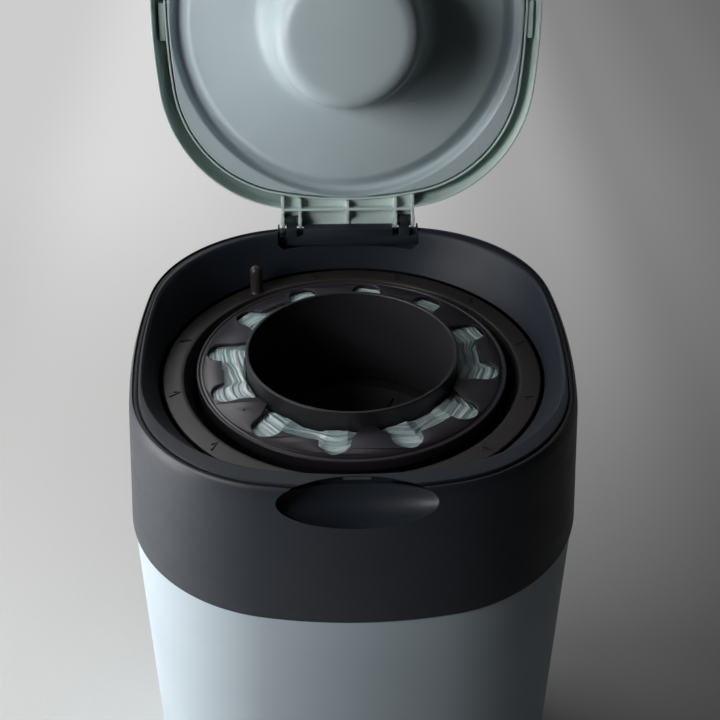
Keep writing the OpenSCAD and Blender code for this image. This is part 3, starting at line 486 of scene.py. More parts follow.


# Polyethylene film, blown thin and gathered: milky white where folds stack up, teal tinted, with fine bright
# streaks that run with the strands. Lower folds are darkened down to a deep teal, as painted shade in the
# hollows between folds. Real strands are a tenth of a millimetre or two and are drawn at 0.7 mm.
def gatheredFilm(name, look):
    material, tree, shader = newMaterial(name)
    foldShade = addNode(tree, "ShaderNodeAttribute", attribute_name="foldShade").outputs["Fac"]
    flow = addNode(tree, "ShaderNodeAttribute", attribute_name="flow").outputs["Vector"]
    streak = addNode(
        tree, "ShaderNodeTexNoise",
        {"Vector": flow, "Scale": 1000 / look["streakMm"], "Detail": 4.0, "Roughness": 0.7},
    )
    band = addNode(
        tree, "ShaderNodeTexNoise", {"Vector": flow, "Scale": 1000 / look["bandMm"], "Detail": 2.0}
    )
    level = addNode(
        tree, "ShaderNodeMapRange", {"Value": streak.outputs["Fac"], "From Min": 0.36, "From Max": 0.66}
    )
    both = addNode(
        tree, "ShaderNodeMath", {0: level.outputs["Result"], 1: band.outputs["Fac"]}, operation="ADD"
    )
    # Low folds give low values and so the ramp's deep teal: painted shade in the hollows between folds.
    white = addNode(tree, "ShaderNodeMath", {0: both.outputs["Value"], 1: foldShade}, operation="MULTIPLY")
    ramp = addNode(tree, "ShaderNodeValToRGB", {"Fac": white.outputs["Value"]})
    ends = ramp.color_ramp.elements
    ends[0].position, ends[0].color = 0.12, linear(look["deep"])
    ends[1].position, ends[1].color = 0.95, linear(look["white"])
    ends.new(0.5).color = linear(look["tint"])
    bump = addNode(
        tree, "ShaderNodeBump", {"Height": streak.outputs["Fac"], "Strength": 0.5, "Distance": 0.4 * mm}
    )
    feed(tree, shader, {
        "Base Color": ramp.outputs["Color"],
        "Normal": bump.outputs["Normal"],
        "Roughness": look["roughness"],
        "IOR": 1.51,
    })
    return material


# Its deep colour is painted shade for the hollows between folds.
finishes["film"] = gatheredFilm("polyethyleneFilm", {
    "deep": "#6d8f94", "tint": "#bcd2d5", "white": "#f6fafa", "streakMm": 0.7, "bandMm": 3.0,
    "roughness": 0.3,
})
print("materials:", len(bpy.data.materials))

# The head's outer wall leans out below its shoulder: offset from the rim outline at a drop below the rim.
head = {
    "height": 82.0,
    "low": 288.0,
    "wall": 2.6,
    "flare": 4.8,
    "shoulderH": 9.0,
    "shoulderW": 2.4,
    "grooveOut": 0.5,
    "grooveIn": -2.4,
    "grooveDepth": 3.6,
    "ledge": 2.0,
    "ledgeIn": -3.0,
}
top = rim["z"]
grooveOut, grooveIn, grooveZ = head["grooveOut"], head["grooveIn"], top - head["grooveDepth"]
shoulderW, shoulderH, headH = head["shoulderW"], head["shoulderH"], head["height"]


# Outer face of the head's wall: it starts at the shoulder's reach and gains the flare evenly over the drop.
def wallOut(drop):
    return grooveOut + shoulderW + head["flare"] * (drop - shoulderH) / (headH - shoulderH)


# Inner face: the outer one less the wall.
def wallIn(drop):
    return wallOut(drop) - head["wall"]


# Tub: a tapered wall with a rounded foot and a collar that the head drops over.
tub = {
    "topOut": 6.7,
    "footOut": 1.52,
    "footIn": 8.0,
    "wall": 2.8,
    "base": 3.0,
    "top": 287.4,
    "collarOut": 4.24,
    "collarT": 2.2,
    "collarTop": 294.2,
    "catchHalfW": 9.0,
    "catchZ": (288.7, 291.9),
}
footZ, lipZ = tub["base"], tub["top"]
collarIn = tub["collarOut"] - tub["collarT"]
section = [
    (tub["footOut"] - tub["footIn"], footZ, 0),
    (tub["footOut"] - 2.4, footZ + 1.6, 3),
    (tub["footOut"], footZ + 8, 5),
    (tub["topOut"], lipZ, 0.7),
    (tub["collarOut"], lipZ, 0.3),
    (tub["collarOut"], tub["collarTop"], 0.6),
    (collarIn, tub["collarTop"], 0.6),
    (collarIn, lipZ - 5, 1.5),
    (tub["topOut"] - tub["wall"], lipZ - 9, 1.5),
    (tub["footOut"] - tub["wall"], footZ + 9, 4),
    (tub["footOut"] - tub["footIn"], footZ + tub["wall"], 0),
]
piece = skin("tubWall", sweptRound(section, closed=False), closed=False)
# A hole in each side of the collar takes a release button's catch.
catchHoles = []
for side in (-1, 1):
    x, y, (z0, z1) = side * (rim["halfW"] + collarIn), tub["catchHalfW"], tub["catchZ"]
    catchHoles.append(block((x - 4, -y, z0), (x + 4, y, z1)))
carve(piece, away=catchHoles)
place(piece, "tub_body", ["tub"], finishes["tub"])
print("tub")

scoop = {"y": -123.9, "z": 359.4, "lean": -34.4, "halfW": 39.5, "halfH": 12.9, "depth": 9.0, "skin": 1.4}


# Finger scoop: a hollow ellipse. At a fraction f of the way out from its middle it is
# sqrt(out^2 + b^2 (1 - f^2)) - out deep, which is an arc across at every place along its length.
def scoopTool(grow=0.0, reach=26.0, cols=160):
    a, b = scoop["halfW"] + grow, scoop["halfH"] + grow
    depth = scoop["depth"] + grow
    centreOut = (b * b - depth * depth) / (2 * depth)
    f = np.sin(np.linspace(0, pi / 2, 25))[:, None]
    t = np.arange(cols) * 2 * pi / cols
    deep = np.sqrt(centreOut**2 + b * b * (1 - f**2)) - centreOut
    bowl = np.stack([a * f * np.cos(t), deep + 0 * t, b * f * np.sin(t)], -1)
    mouthRing = np.stack([a * np.cos(t), np.full(cols, -reach), b * np.sin(t)], -1)[None]
    p = np.concatenate([bowl, mouthRing]) + (0, scoop["y"], scoop["z"])
    return skin("scoopTool", tip(p, scoop["lean"], scoop["y"], scoop["z"]), closed=False)


hinge = {"axisY": 130.7, "axisZ": 371.6, "openDeg": 104.3, "blockHalf": 44.0, "drop": 11.0, "gap": 0.05}


# The notch in the back of the rim that the hinge block fills.
def hingeRecess():
    x, z = hinge["blockHalf"] + hinge["gap"], top - hinge["drop"] - hinge["gap"]
    return block((-x, rim["halfD"] - 12, z), (x, rim["halfD"] + 28, top + 9))


# Head casing: rounded shoulder, rim groove, and a ledge under the groove that carries the well.
button = {"z": 306.0, "halfW": 15.0, "halfH": 7.0, "gap": 0.3}
section = [
    (wallOut(headH), head["low"], 0.9),
    (wallOut(shoulderH), top - shoulderH, 3.0),
    (grooveOut + shoulderW * 0.78, top - shoulderH * 0.5, 2.4),
    (grooveOut + shoulderW * 0.42, top - shoulderH * 0.16, 0.9),
    (grooveOut, top, 0.35),
    (grooveOut, grooveZ, 0.2),
    (head["ledgeIn"], grooveZ, 0.2),
    (head["ledgeIn"], grooveZ - head["ledge"], 0.2),
    (grooveOut - head["wall"], grooveZ - head["ledge"], 0.3),
    (wallIn(shoulderH), top - shoulderH, 2.0),
    (wallIn(headH), head["low"], 0.6),
]
piece = skin("headCasing", sweptRound(section))
buttonHoles = []
for side in (-1, 1):
    x, z = side * (rim["halfW"] + wallOut(top - button["z"])), button["z"]
    halfW, halfH = button["halfW"] + button["gap"], button["halfH"] + button["gap"]
    buttonHoles.append(block((x - 6, -halfW, z - halfH), (x + 6, halfW, z + halfH)))
carve(piece, away=[scoopTool(), hingeRecess(), *buttonHoles])
place(piece, "head", ["head_shell"], finishes["head"])

# The bowl of the scoop is a skin behind the hole, kept inside the casing's inner face.
inner = [ringAt(wallIn(max(drop, shoulderH)) - 0.05, top - drop) for drop in (6.7, 10, 32)]
piece = scoopTool(scoop["skin"], reach=0.0)
piece.name = "scoopBowl"
carve(piece, away=[scoopTool()], within=[skin("insideTool", inner, closed=False)])
place(piece, "head", ["finger_scoop"], finishes["head"])
print("head casing and scoop")

# Well: the lip, its rounded mouth and a wall that turns from the rim's shape to a circle by height.
mouth = {"halfW": 113.4, "halfD": 117.4, "shiftY": 3.5}
well = {"r": 109.4, "skin": 2.0, "foot": 343.4, "blend": 0.45, "lipDrop": 1.4}
latch = {"halfW": 7.0, "backY": -101.4, "z": (366.1, 369.1)}
deckZ = 344.0


# The mouth's outline at a height: the rim outline's arcs with the mouth's own half sizes, set back a little.
def mouthAt(o, z):
    return ringAt(o, z, **mouth)


# The well's circle, with one point for each point of the mouth.
def wellAt(r, z):
    return circleAt(r, z, mouthAt(0, z)[:, :2])


# Between both: (1 - blend) times the mouth plus blend times the circle.
def betweenAt(grow, z):
    return mouthAt(grow, z) * (1 - well["blend"]) + wellAt(well["r"] + grow, z) * well["blend"]


rings = [
    ringAt(grooveIn, grooveZ),
    ringAt(grooveIn, top - 0.8),
    ringAt(grooveIn - 0.6, top),
    mouthAt(1.2, top),
    mouthAt(0, top - well["lipDrop"]),
    betweenAt(0, top - 13),
    wellAt(well["r"], well["foot"]),
    wellAt(well["r"] + well["skin"], well["foot"]),
    betweenAt(well["skin"], top - 13.6),
    mouthAt(well["skin"], grooveZ - 0.1) * 0.9 + ringAt(grooveIn - 1, grooveZ - 0.1) * 0.1,
]
piece = skin("wellLiner", roundRows(rings, [0.2, 0.4, 0.5, 0.9, 1.6, 9, 0.3, 0.3, 4, 0.3], steps=7))
z0, z1 = latch["z"]
slot = block((-latch["halfW"], -rim["halfD"], z0), (latch["halfW"], latch["backY"], z1))
carve(piece, away=[scoopTool(), hingeRecess(), slot])
place(piece, "head", ["well_liner"], finishes["well"])

# Seal: a cord of rubber in the groove, crowned on top.
sealIn, sealOut = grooveIn + 0.1, grooveOut - 0.1
section = [
    (sealIn, grooveZ, 0),
    (sealIn, top - 1.6, 0.5),
    (grooveIn + 1.45, top - 1.1, 0.9),
    (sealOut, top - 1.6, 0.5),
    (sealOut, grooveZ, 0),
]
piece = skin("rimSeal", sweptRound(section))
carve(piece, away=[scoopTool(0.1), hingeRecess()])
place(piece, "head", ["rim_seal"], finishes["seal"])
print("well and seal")


# A copy of a CAD node with its flats joined up and its edges broken by a small radius.
def eased(node, width, steps=2, angleDeg=38):
    mesh = nodes[node].data.copy()
    cleanMesh(mesh, 2e-6)
    bm = bmesh.new()
    bm.from_mesh(mesh)
    bmesh.ops.dissolve_limit(bm, angle_limit=radians(0.6), verts=bm.verts, edges=bm.edges)
    bm.to_mesh(mesh)
    bm.free()
    piece = pieceOf(node + "Eased", mesh)
    edge = piece.modifiers.new("edge", "BEVEL")
    edge.limit_method, edge.angle_limit = "ANGLE", radians(angleDeg)
    edge.width, edge.segments = width * mm, steps
    edge.use_clamp_overlap = True
    edge.harden_normals = False
    applyModifiers(piece)
    return piece


bodyOf = {n: body for body, names in frame["record"]["behaviour"]["bodies"].items() for n in names}
# Each node with the radius of its edges in millimetres and its finish.
easedParts = {
    "lid_hinge_block": (0.45, "well"),
    "lid_hinge_bracket": (0.3, "lid"),
    "liner_clips": (0.4, "lid"),
    "latch_hook": (0.25, "lid"),
    "left_release_button": (0.6, "head"),
    "right_release_button": (0.6, "head"),
    "tub_hinge": (0.4, "tub"),
    "head_hinge": (0.4, "head"),
    "cutter_guard": (0.4, "inner"),
}
for node, (width, look) in easedParts.items():
    place(eased(node, width), bodyOf[node], [node], finishes[look])
print("eased parts:", len(easedParts))

# Turntable: cup, deck ring and neck in one profile, with raised ticks on the deck and catches in the cup.
deck = {
    "neckIn": 62.5,
    "neckOut": 64.5,
    "cupIn": 90.6,
    "cupOut": 93.0,
    "hole": 94.8,
    "out": 107.8,
    "low": 293.6,
    "floor": 299.4,
    "floorT": 2.4,
}
cupFloor = deck["floor"] + deck["floorT"]
section = [
    (deck["neckIn"], deck["low"], 0.4),
    (deck["neckOut"], deck["low"], 0.4),
    (deck["neckOut"], deck["floor"], 0.5),
    (deck["cupOut"], deck["floor"], 1.5),
    (deck["cupOut"], deckZ - 7, 1),
    (deck["hole"] + 1.8, deckZ - 4, 1),
    (deck["hole"] + 2.4, deckZ - 2.4, 0.6),
    (deck["out"] - 0.4, deckZ - 3.4, 0.5),
    (deck["out"], deckZ - 1.8, 0.8),
    (deck["out"] - 0.8, deckZ - 0.5, 0.6),
    (deck["hole"] + 2, deckZ, 2),
    (deck["hole"] + 0.5, deckZ - 0.4, 0.8),
    (deck["hole"], deckZ - 1.6, 1.2),
    (deck["cupIn"], deckZ - 8, 3),
    (deck["cupIn"], cupFloor, 1.5),
    (deck["neckIn"], cupFloor, 0.8),
]
rows = revolved(rounded(section, steps=6))
points, faces = [rows.reshape(-1, 3)], gridFaces(*rows.shape[:2], wrapRows=True)
count = rows.shape[0] * rows.shape[1]

# A tick is a bent bar, an L of two arms, carried to its place on the ring by a turn about the axis.
ticks = {"count": 12, "firstDeg": 12.5, "r": 97.8, "sunk": 0.8, "proud": 0.12, "crown": 0.3, "crownScale": 0.94}
bar = np.array([(0, 0), (3.52, -1.57), (3.88, -0.75), (1.11, 0), (6.76, 2.02), (6.39, 2.85)])
layers = ((1.0, -ticks["sunk"]), (1.0, ticks["proud"]), (ticks["crownScale"], ticks["crown"]))
tick = np.concatenate([
    np.column_stack([bar * scale + (ticks["r"], 0), np.full(len(bar), deckZ + lift)]) for scale, lift in layers
])
tickFaces = [*gridFaces(3, 6), range(5, -1, -1), range(12, 18)]
for i in range(ticks["count"]):
    a = radians(ticks["firstDeg"] + i * 360 / ticks["count"])
    x, y, z = tick.T
    turned = [x * np.cos(a) - y * np.sin(a), rim["wellY"] + x * np.sin(a) + y * np.cos(a), z]
    points.append(np.column_stack(turned))
    faces += [[count + j for j in f] for f in tickFaces]
    count += len(tick)

# A catch is a short band on the cup's wall, wedge shaped above: the section below carried along an arc.
catches = {"atDeg": (75, 165, 255, 345), "halfDeg": 4.6, "steps": 9}
band = np.array([(88.5, deckZ - 12.5), (88.5, deckZ - 10), (91.2, deckZ - 8.6), (91.2, deckZ - 13.2)])
n = catches["steps"]
catchFaces = [*gridFaces(4, n, wrapRows=True, wrapCols=False), [0, n, 2 * n, 3 * n]]
catchFaces.append([4 * n - 1, 3 * n - 1, 2 * n - 1, n - 1])
for at in catches["atDeg"]:
    t = np.radians(np.linspace(at - catches["halfDeg"], at + catches["halfDeg"], n))
    r, z = band[:, :1], band[:, 1:]
    points.append(np.stack([r * np.cos(t), rim["wellY"] + r * np.sin(t), z + 0 * t], -1).reshape(-1, 3))
    faces += [[count + j for j in f] for f in catchFaces]
    count += 4 * n
piece = meshFrom("deckRing", np.concatenate(points), faces)
place(piece, "turntable", ["turntable"], finishes["deck"])

# Grip peg: a slightly tapered pin with a ball top and a small fillet at its foot.
peg = {"atDeg": 124.5, "ringR": 100.65, "ballR": 3.7, "ballZ": 14.3}
t = np.radians(np.linspace(0, 90, 9))
ball = np.column_stack([peg["ballR"] * np.cos(t), peg["ballZ"] + peg["ballR"] * np.sin(t)])
profile = np.concatenate([[(0, 0.02), (4.6, 0.02), (4.1, 0.5), (3.85, 1.6)], ball]) + (0, deckZ)
profile[-1, 0] = 0
a = np.radians(peg["atDeg"])
foot = (peg["ringR"] * np.cos(a), rim["wellY"] + peg["ringR"] * np.sin(a))
piece = skin("gripPeg", revolved(profile, 48, foot), closed=False)
place(piece, "turntable", ["grip_peg"], finishes["deck"])
print("turntable")

# Refill cassette. The cover's plate falls from plateRise at the tube to bandRise at its edge.
cassette = {
    "r": 88.0,
    "tubeR": 59.8,
    "tubeWall": 1.6,
    "low": 302.1,
    "rimZ": 347.1,
    "rise": 10.4,
    "notches": 12,
    "notchW": 17.0,
    "notchTurn": -8.0,
    "margin": 4.5,
    "plateR": 84.6,
    "plateRise": 2.2,
    "bandRise": 1.4,
    "dentR": 73.5,
    "dentDeg": (-143, -23),
}
rimZ = cassette["rimZ"]

# Core tube, with a fine bead round its top.
r, wall, z = cassette["tubeR"], cassette["tubeWall"], rimZ + cassette["rise"]
section = [
    (r - wall, cassette["low"], 0.3),
    (r, cassette["low"], 0.3),
    (r, z - 1.3, 0.5),
    (r + 0.45, z - 0.75, 0.5),
    (r + 0.1, z, 0.35),
    (r - 1.4, z, 0.35),
    (r - 1.85, z - 0.8, 0.5),
    (r - wall, z - 1.6, 0.5),
]
piece = skin("coreTube", revolved(rounded(section), 320))
place(piece, "cassette", ["core_tube"], finishes["tube"])

# The two kinds of tooth between notches: how near the axis the tip stands, how far a side leans in towards the
# tip, where that lean starts, and the radii of both corners. The long ones narrow towards the tube.
longTooth = {"tip": 61.4, "lean": 3.6, "bendR": 70.0, "round": 1.4, "bendRound": 3.0}
shortTooth = {"tip": 73.8, "lean": 0.0, "bendR": 75.0, "round": 3.2, "bendRound": 0}


# Inner edge of the cover as one closed line: along a notch's side, round its end, back, and along a tooth's
# tip. A notch end is a half circle; a tip is an arc about the axis; corners are rounded as in roundRows.
def coverEdge():
    half = cassette["notchW"] / 2
    endR = cassette["r"] - cassette["margin"] - half
    step = 2 * pi / cassette["notches"]
    around = np.linspace(-pi / 2, pi / 2, 25)
    end = np.column_stack([endR + half * np.cos(around), half * np.sin(around)])
    points, radius = [], []
    for i in range(cassette["notches"]):
        a = radians(cassette["notchTurn"]) + i * step
        before, after = [longTooth if k % 2 else shortTooth for k in (i - 1, i)]
        corner = []
        for tooth, s in ((before, -1), (after, 1)):
            side = half + tooth["lean"]
            corner.append((np.sqrt(tooth["tip"] ** 2 - side**2), s * side))
        bend = [(before["bendR"], -half), (after["bendR"], half)]
        turn = np.array([[np.cos(a), -np.sin(a)], [np.sin(a), np.cos(a)]])
        notch = np.array([corner[0], bend[0], *end, bend[1], corner[1]]) @ turn.T
        edge = np.arcsin((half + after["lean"]) / after["tip"])
        g = np.linspace(a + edge, a + step - edge, 9)[1:-1]
        points += [notch, after["tip"] * np.column_stack([np.cos(g), np.sin(g)])]
        radius += [before["round"], before["bendRound"], *[0] * len(end)]
        radius += [after["bendRound"], after["round"], *[0] * len(g)]
    return roundRows(np.concatenate(points), radius, steps=4)


# Cover plate: drawn as a filled curve with rounded edges, then bent to its slight cone.
curve = bpy.data.curves.new("coverPlate", "CURVE")
curve.dimensions, curve.fill_mode = "2D", "BOTH"
t = np.arange(288) * 2 * pi / 288
for loop in (coverEdge(), cassette["plateR"] * np.column_stack([np.cos(t), np.sin(t)])):
    spline = curve.splines.new("POLY")
    spline.points.add(len(loop) - 1)
    flat = np.column_stack([loop * mm, np.zeros(len(loop)), np.ones(len(loop))])
    spline.points.foreach_set("co", flat.ravel())
    spline.use_cyclic_u = True
curve.extrude, curve.offset = 0.45 * mm, -0.3 * mm
curve.bevel_depth, curve.bevel_resolution = 0.3 * mm, 2
piece = pieceOf("coverPlate", curve)
plate = finishedMesh(piece)
bpy.data.objects.remove(piece)
co = readPoints(plate)
r = np.hypot(co[:, 0], co[:, 1])
fall = (cassette["plateRise"] - cassette["bandRise"]) * np.clip((r - longTooth["tip"]) / 21.6, 0, 1)
co[:, 2] += rimZ - 0.8 + cassette["plateRise"] - fall - 1.6 * np.clip((r - 83) / 2, 0, 1)
co[:, 1] += rim["wellY"]
writePoints(plate, co)
cleanMesh(plate)
piece = pieceOf("coverPlate", plate)
dent = [(0, rimZ + 0.9), (0.9, rimZ + 1.1), (2.1, rimZ + 3), (0, rimZ + 3)]
dents = []
for a in np.radians(cassette["dentDeg"]):
    at = (cassette["dentR"] * np.cos(a), rim["wellY"] + cassette["dentR"] * np.sin(a))
    dents.append(skin("dentTool", revolved(dent, 24, at), closed=False))
carve(piece, away=dents)
place(piece, "cassette", ["cassette_cover"], finishes["cassette"], sharpDeg=50)

# Cover rim: two beads and the skirt that hangs over the tray.
section = [
    (88, rimZ - 6.5, 0.3),
    (88, rimZ - 0.5, 0.4),
    (87.5, rimZ, 0.3),
    (86.5, rimZ, 0.4),
    (86, rimZ - 0.8, 0.5),
    (84.8, rimZ - 0.5, 0.4),
    (83.8, rimZ + 0.2, 0.3),
    (83.6, rimZ - 3.1, 0.3),
    (86.4, rimZ - 3.2, 0.3),
    (86.4, rimZ - 6.5, 0.3),
]
piece = skin("coverRim", revolved(rounded(section), 320))
place(piece, "cassette", ["cassette_cover"], finishes["cassette"])
print("cassette")

# Film pack: a gathered ring of thin film. Strands keep a constant share of the film's width, which swells
# into each notch and shrinks at each tooth, so they run along the tube and bow out into the notches.
# The height is a crown across that width, plus folds that are sharp-topped waves of the share.
pack = {
    "inR": 60.6,
    "outR": 83.0,
    "low": 304.7,
    "under": 0.5,
    "swell": 1.7,
    "width": 14.5,
    "notchWidth": 7.5,
    "toothWidth": 8.0,
    "folds": (9, 15, 26, 41),
    "foldWeights": (1.0, 0.8, 0.5, 0.3),
    "depth": 1.5,
    "sag": 1.3,
    "alongMm": 60 / 26,
    "acrossMm": 14,
    "seed": 11,
}
cols, across = 1152, 72
t = np.arange(cols) * 2 * pi / cols
s = np.linspace(0, 1, across)[:, None]
fromNotch = t - radians(cassette["notchTurn"])
inNotch = 0.5 + 0.5 * np.cos(cassette["notches"] * fromNotch)
inNotch = np.clip((inNotch - 0.25) / 0.5, 0, 1) ** 1.4
fromLong = t - radians(cassette["notchTurn"] + 45)
atLong = np.clip(np.cos(cassette["notches"] / 2 * fromLong), 0, 1) ** 6
ringR = pack["inR"] + (pack["outR"] - pack["inR"]) * s + 0 * t
width = pack["width"] + pack["notchWidth"] * inNotch - pack["toothWidth"] * atLong
share = (ringR - pack["inR"]) / width
rng = np.random.default_rng(pack["seed"])
phases = rng.uniform(0, 6, 4)
drift = sum(a * np.sin(k * t + p) for k, a, p in zip((2, 5, 11, 19), (0.10, 0.08, 0.05, 0.03), phases))
phases = rng.uniform(0, 6, 4)
wave = 0
for n, weight, p in zip(pack["folds"], pack["foldWeights"], phases):
    bowed = n * share + n * drift + p + 0.5 * np.sin((n % 7 + 3) * t + p)
    wave = wave + weight * (1 - np.abs(np.sin(bowed)))
wave = (wave - wave.min()) / np.ptp(wave)
bulge = np.clip(1.15 - np.clip(share, 0, 3), 0, 1) ** 0.6
sag = pack["sag"] * (0.5 + 0.5 * np.sin(3 * t + 0.7) * np.sin(7 * t + 2.0))
topZ = rimZ - pack["under"] + pack["swell"] * inNotch * bulge - pack["depth"] * (1 - wave)
topZ = topZ - sag - 4.0 * np.clip(share - 0.92, 0, 1)
topZ = np.where(s < 0.03, topZ - 1.0, topZ)
upper = np.stack([ringR * np.cos(t), rim["wellY"] + ringR * np.sin(t), topZ], -1)
lower = np.stack([
    np.stack([r * np.cos(t), rim["wellY"] + r * np.sin(t), np.full(cols, pack["low"])], -1)
    for r in (pack["outR"], pack["inR"])
])
piece = skin("filmPack", np.concatenate([upper, lower]))
# The material reads how high a fold stands, which paints shade into the hollows between folds, and a place
# that runs slowly along a strand and fast across it.
count = len(piece.data.vertices)
foldShade = np.concatenate([(0.3 + 0.7 * wave).ravel(), np.full(2 * cols, 0.3)])
slow, fast = pack["alongMm"], pack["acrossMm"]
flow = np.stack([slow * np.cos(t) + 0 * share, slow * np.sin(t) + 0 * share, fast * (share + drift)], -1)
flow = np.concatenate([flow.reshape(-1, 3), np.zeros((2 * cols, 3))]) * mm
if count == len(foldShade):
    folds = piece.data.attributes.new("foldShade", "FLOAT", "POINT")
    folds.data.foreach_set("value", foldShade.astype(np.float32))
    flows = piece.data.attributes.new("flow", "FLOAT_VECTOR", "POINT")
    flows.data.foreach_set("vector", flow.astype(np.float32).ravel())
place(piece, "cassette", ["film_pack"], finishes["film"], sharpDeg=75)
print("film:", count, "points of", len(foldShade))


# Lid pieces are worked out closed and then turned open about the hinge.
def opened(points):
    return tip(points, -hinge["openDeg"], hinge["axisY"], hinge["axisZ"])


lid = {
    "out": -1.4,
    "edge": 369.9,
    "top": 402.0,
    "wall": 2.2,
    "ribOut": -9.2,
    "ribIn": -10.4,
    "ribEdge": 374.4,
    "cutHalf": 41.85,
    "cutTop": 378.8,
}


# Height of the underside of the lid's top, over an offset from the rim outline.
def lidCeiling(o):
    return lid["top"] - lid["wall"] - 11.5 - (o + 11) * 0.54


z, wall = lid["top"], lid["wall"]
section = [
    (-80, z - wall, 0),
    (-45, z - 1.6 - wall, 12),
    (-23, lidCeiling(-23), 3),
    (lid["ribIn"], lidCeiling(lid["ribIn"]), 0.8),
    (lid["ribIn"], lid["ribEdge"], 0.45),
    (lid["ribOut"], lid["ribEdge"], 0.45),
    (lid["ribOut"], lidCeiling(lid["ribOut"]), 1.2),
    (-5.2 - wall, z - 15.6, 5),
    (-2.2 - wall, z - 21.5, 6),
    (-0.8 - wall, z - 27.5, 5),
    (lid["out"] - wall / 2, lid["edge"], 0.3),
    (lid["out"], lid["edge"], 0.7),
    (lid["out"] - 0.3, z - 27, 4),
    (-2.6, z - 20.6, 5),
    (-6, z - 14, 5),
    (-11, z - 9.3, 5),
    (-22, z - 4.6, 8),
    (-45, z - 1.6, 14),
    (-80, z, 0),
]
piece = skin("lidShell", sweptRound(section, closed=False, steps=6), closed=False)
# The bracket's root takes the place of the skin at the back.
backY = rim["halfD"] + lid["ribOut"] + 0.05
carve(piece, away=[block((-lid["cutHalf"], backY, 365), (lid["cutHalf"], 170, lid["cutTop"]))])
writePoints(piece.data, opened(readPoints(piece.data)))
place(piece, "lid", ["lid_shell"], finishes["lid"])

# Lid liner: plunger, dished disc, round channel and flat border in one skin.
liner = {
    "border": -11.2,
    "lift": 4.6,
    "edge": 6.6,
    "channel": 12.6,
    "channelR": 102.3,
    "plungerR": 43.5,
    "reach": 53.0,
    "disc": 1.6,
    "wall": 1.8,
}
c, p = liner["channelR"], liner["plungerR"]
end, channelZ, borderZ = top - liner["reach"], top + liner["channel"], top + liner["lift"]
seen = [
    (0, end, 0),
    (p - 15, end, 6),
    (p - 9.4, end + 0.5, 5),
    (p - 4.6, end + 2.8, 4.5),
    (p - 1.4, end + 7, 5),
    (p, end + 13, 7),
    (p + 2.4, top - 14, 6),
    (p + 3.4, top - 7.5, 4),
    (p + 6, top - 2.2, 4),
    (p + 10, top + 0.7, 5),
    (p + 15, top + liner["disc"], 5),
    (c - 7.6, top + liner["edge"], 1.6),
    (c - 5.2, top + liner["edge"] + 1.8, 2.5),
    (c - 2.4, channelZ - 1.4, 2.5),
    (c, channelZ, 1.8),
    (c + 2.2, channelZ - 1.6, 1.8),
    (c + 3.6, borderZ, 1.2),
]
hidden = [
    (c + 5.4, borderZ + 1.8),
    (c + 4, borderZ + 5),
    (c + 3, channelZ + 0.6),
    (c, channelZ + 2),
    (c - 3.4, channelZ + 0.6),
    (c - 7, top + 9),
    (p + 15, top + 3.4),
    (p + 9, top + 2.5),
    (p + 4, top - 2),
    (p + 1, top - 8),
    (p - 1.9, end + 16),
    (p - 3.4, end + 9.6),
    (p - 7, end + 5),
    (p - 11.6, end + 2.4),
    (p - 17, end + 1.8),
    (0, end + 1.8),
]
borderRings = [(liner["border"] - 0.5, 0), (liner["border"], 0.5), (liner["border"], liner["wall"])]
rings = [circleAt(r, z) for r, z, k in seen] + [ringAt(o, borderZ + up) for o, up in borderRings]
radius = [k for r, z, k in seen[1:]] + [0.3, 0.3, 0]
front = roundRows(rings[1:], radius, closed=False, steps=6)
back = [ringAt(liner["border"] - 0.6, borderZ + 1.8)] + [circleAt(r, z) for r, z in hidden]
piece = skin("lidLiner", opened(np.concatenate([rings[:1], front, back])), closed=False)
place(piece, "lid", ["lid_liner"], finishes["liner"], sharpDeg=40)
print("lid")

# What stays as the frame has it gets its own finish.
keptNodes = {
    "foot_pads": "foot",
    "rear_hinge_pin": "steel",
    "head_base": "inner",
    "screw_posts": "head",
    "base_screws": "steel",
    "lid_hinge_pin": "steel",
    "film_gripper": "grip",
    "gripper_ring": "inner",
    "glide_pads": "glide",
    "cutter_blade": "steel",
    "left_button_spring": "steel",
    "right_button_spring": "steel",
    "cassette_tray": "cassette",
}
for node, look in keptNodes.items():
    nodes[node].data.materials.clear()
    nodes[node].data.materials.append(finishes[look])
print("kept nodes:", len(keptNodes))

# Floor and backdrop in one sheet: flat, then a quarter circle up to a wall. Its colour is a painted fall-off
# of light, pale on the left and grey on the right: the colours are stops over X in metres. Far from the lamps
# it shows, for the eye alone, a glow with a second painted fall-off over X, from farFrom to farTo over Y.
stage = {
    "half": 14.0,
    "front": -8.0,
    "bend": 2.6,
    "radius": 1.2,
    "height": 9.0,
    "paintedFalloff": [(-0.20, "#eeeeec"), (0.02, "#dcdcda"), (0.20, "#bababa"), (0.36, "#a6a6a6")],
    "far": [
        (-0.42, "#cdcdcd"), (-0.28, "#dadada"), (0.00, "#c4c4c4"), (0.24, "#a3a3a3"), (0.36, "#858585"),
        (0.50, "#767676"), (0.62, "#6c6c6c"),
    ],
    "farFrom": 0.08,
    "farTo": 0.95,
}
t = np.linspace(0, pi / 2, 25)
wallY = stage["bend"] + stage["radius"]
bend = np.column_stack([stage["bend"] + stage["radius"] * np.sin(t), stage["radius"] * (1 - np.cos(t))])
side = np.concatenate([[(stage["front"], 0.0)], bend, [(wallY, stage["height"])]])
xs = np.linspace(-stage["half"], stage["half"], 3)
sheet = np.stack([np.column_stack([np.full(len(side), x), side]) for x in xs])
floor = meshFrom("studioSheet", sheet / mm, gridFaces(*sheet.shape[:2], wrapCols=False))
shade(floor, 60)


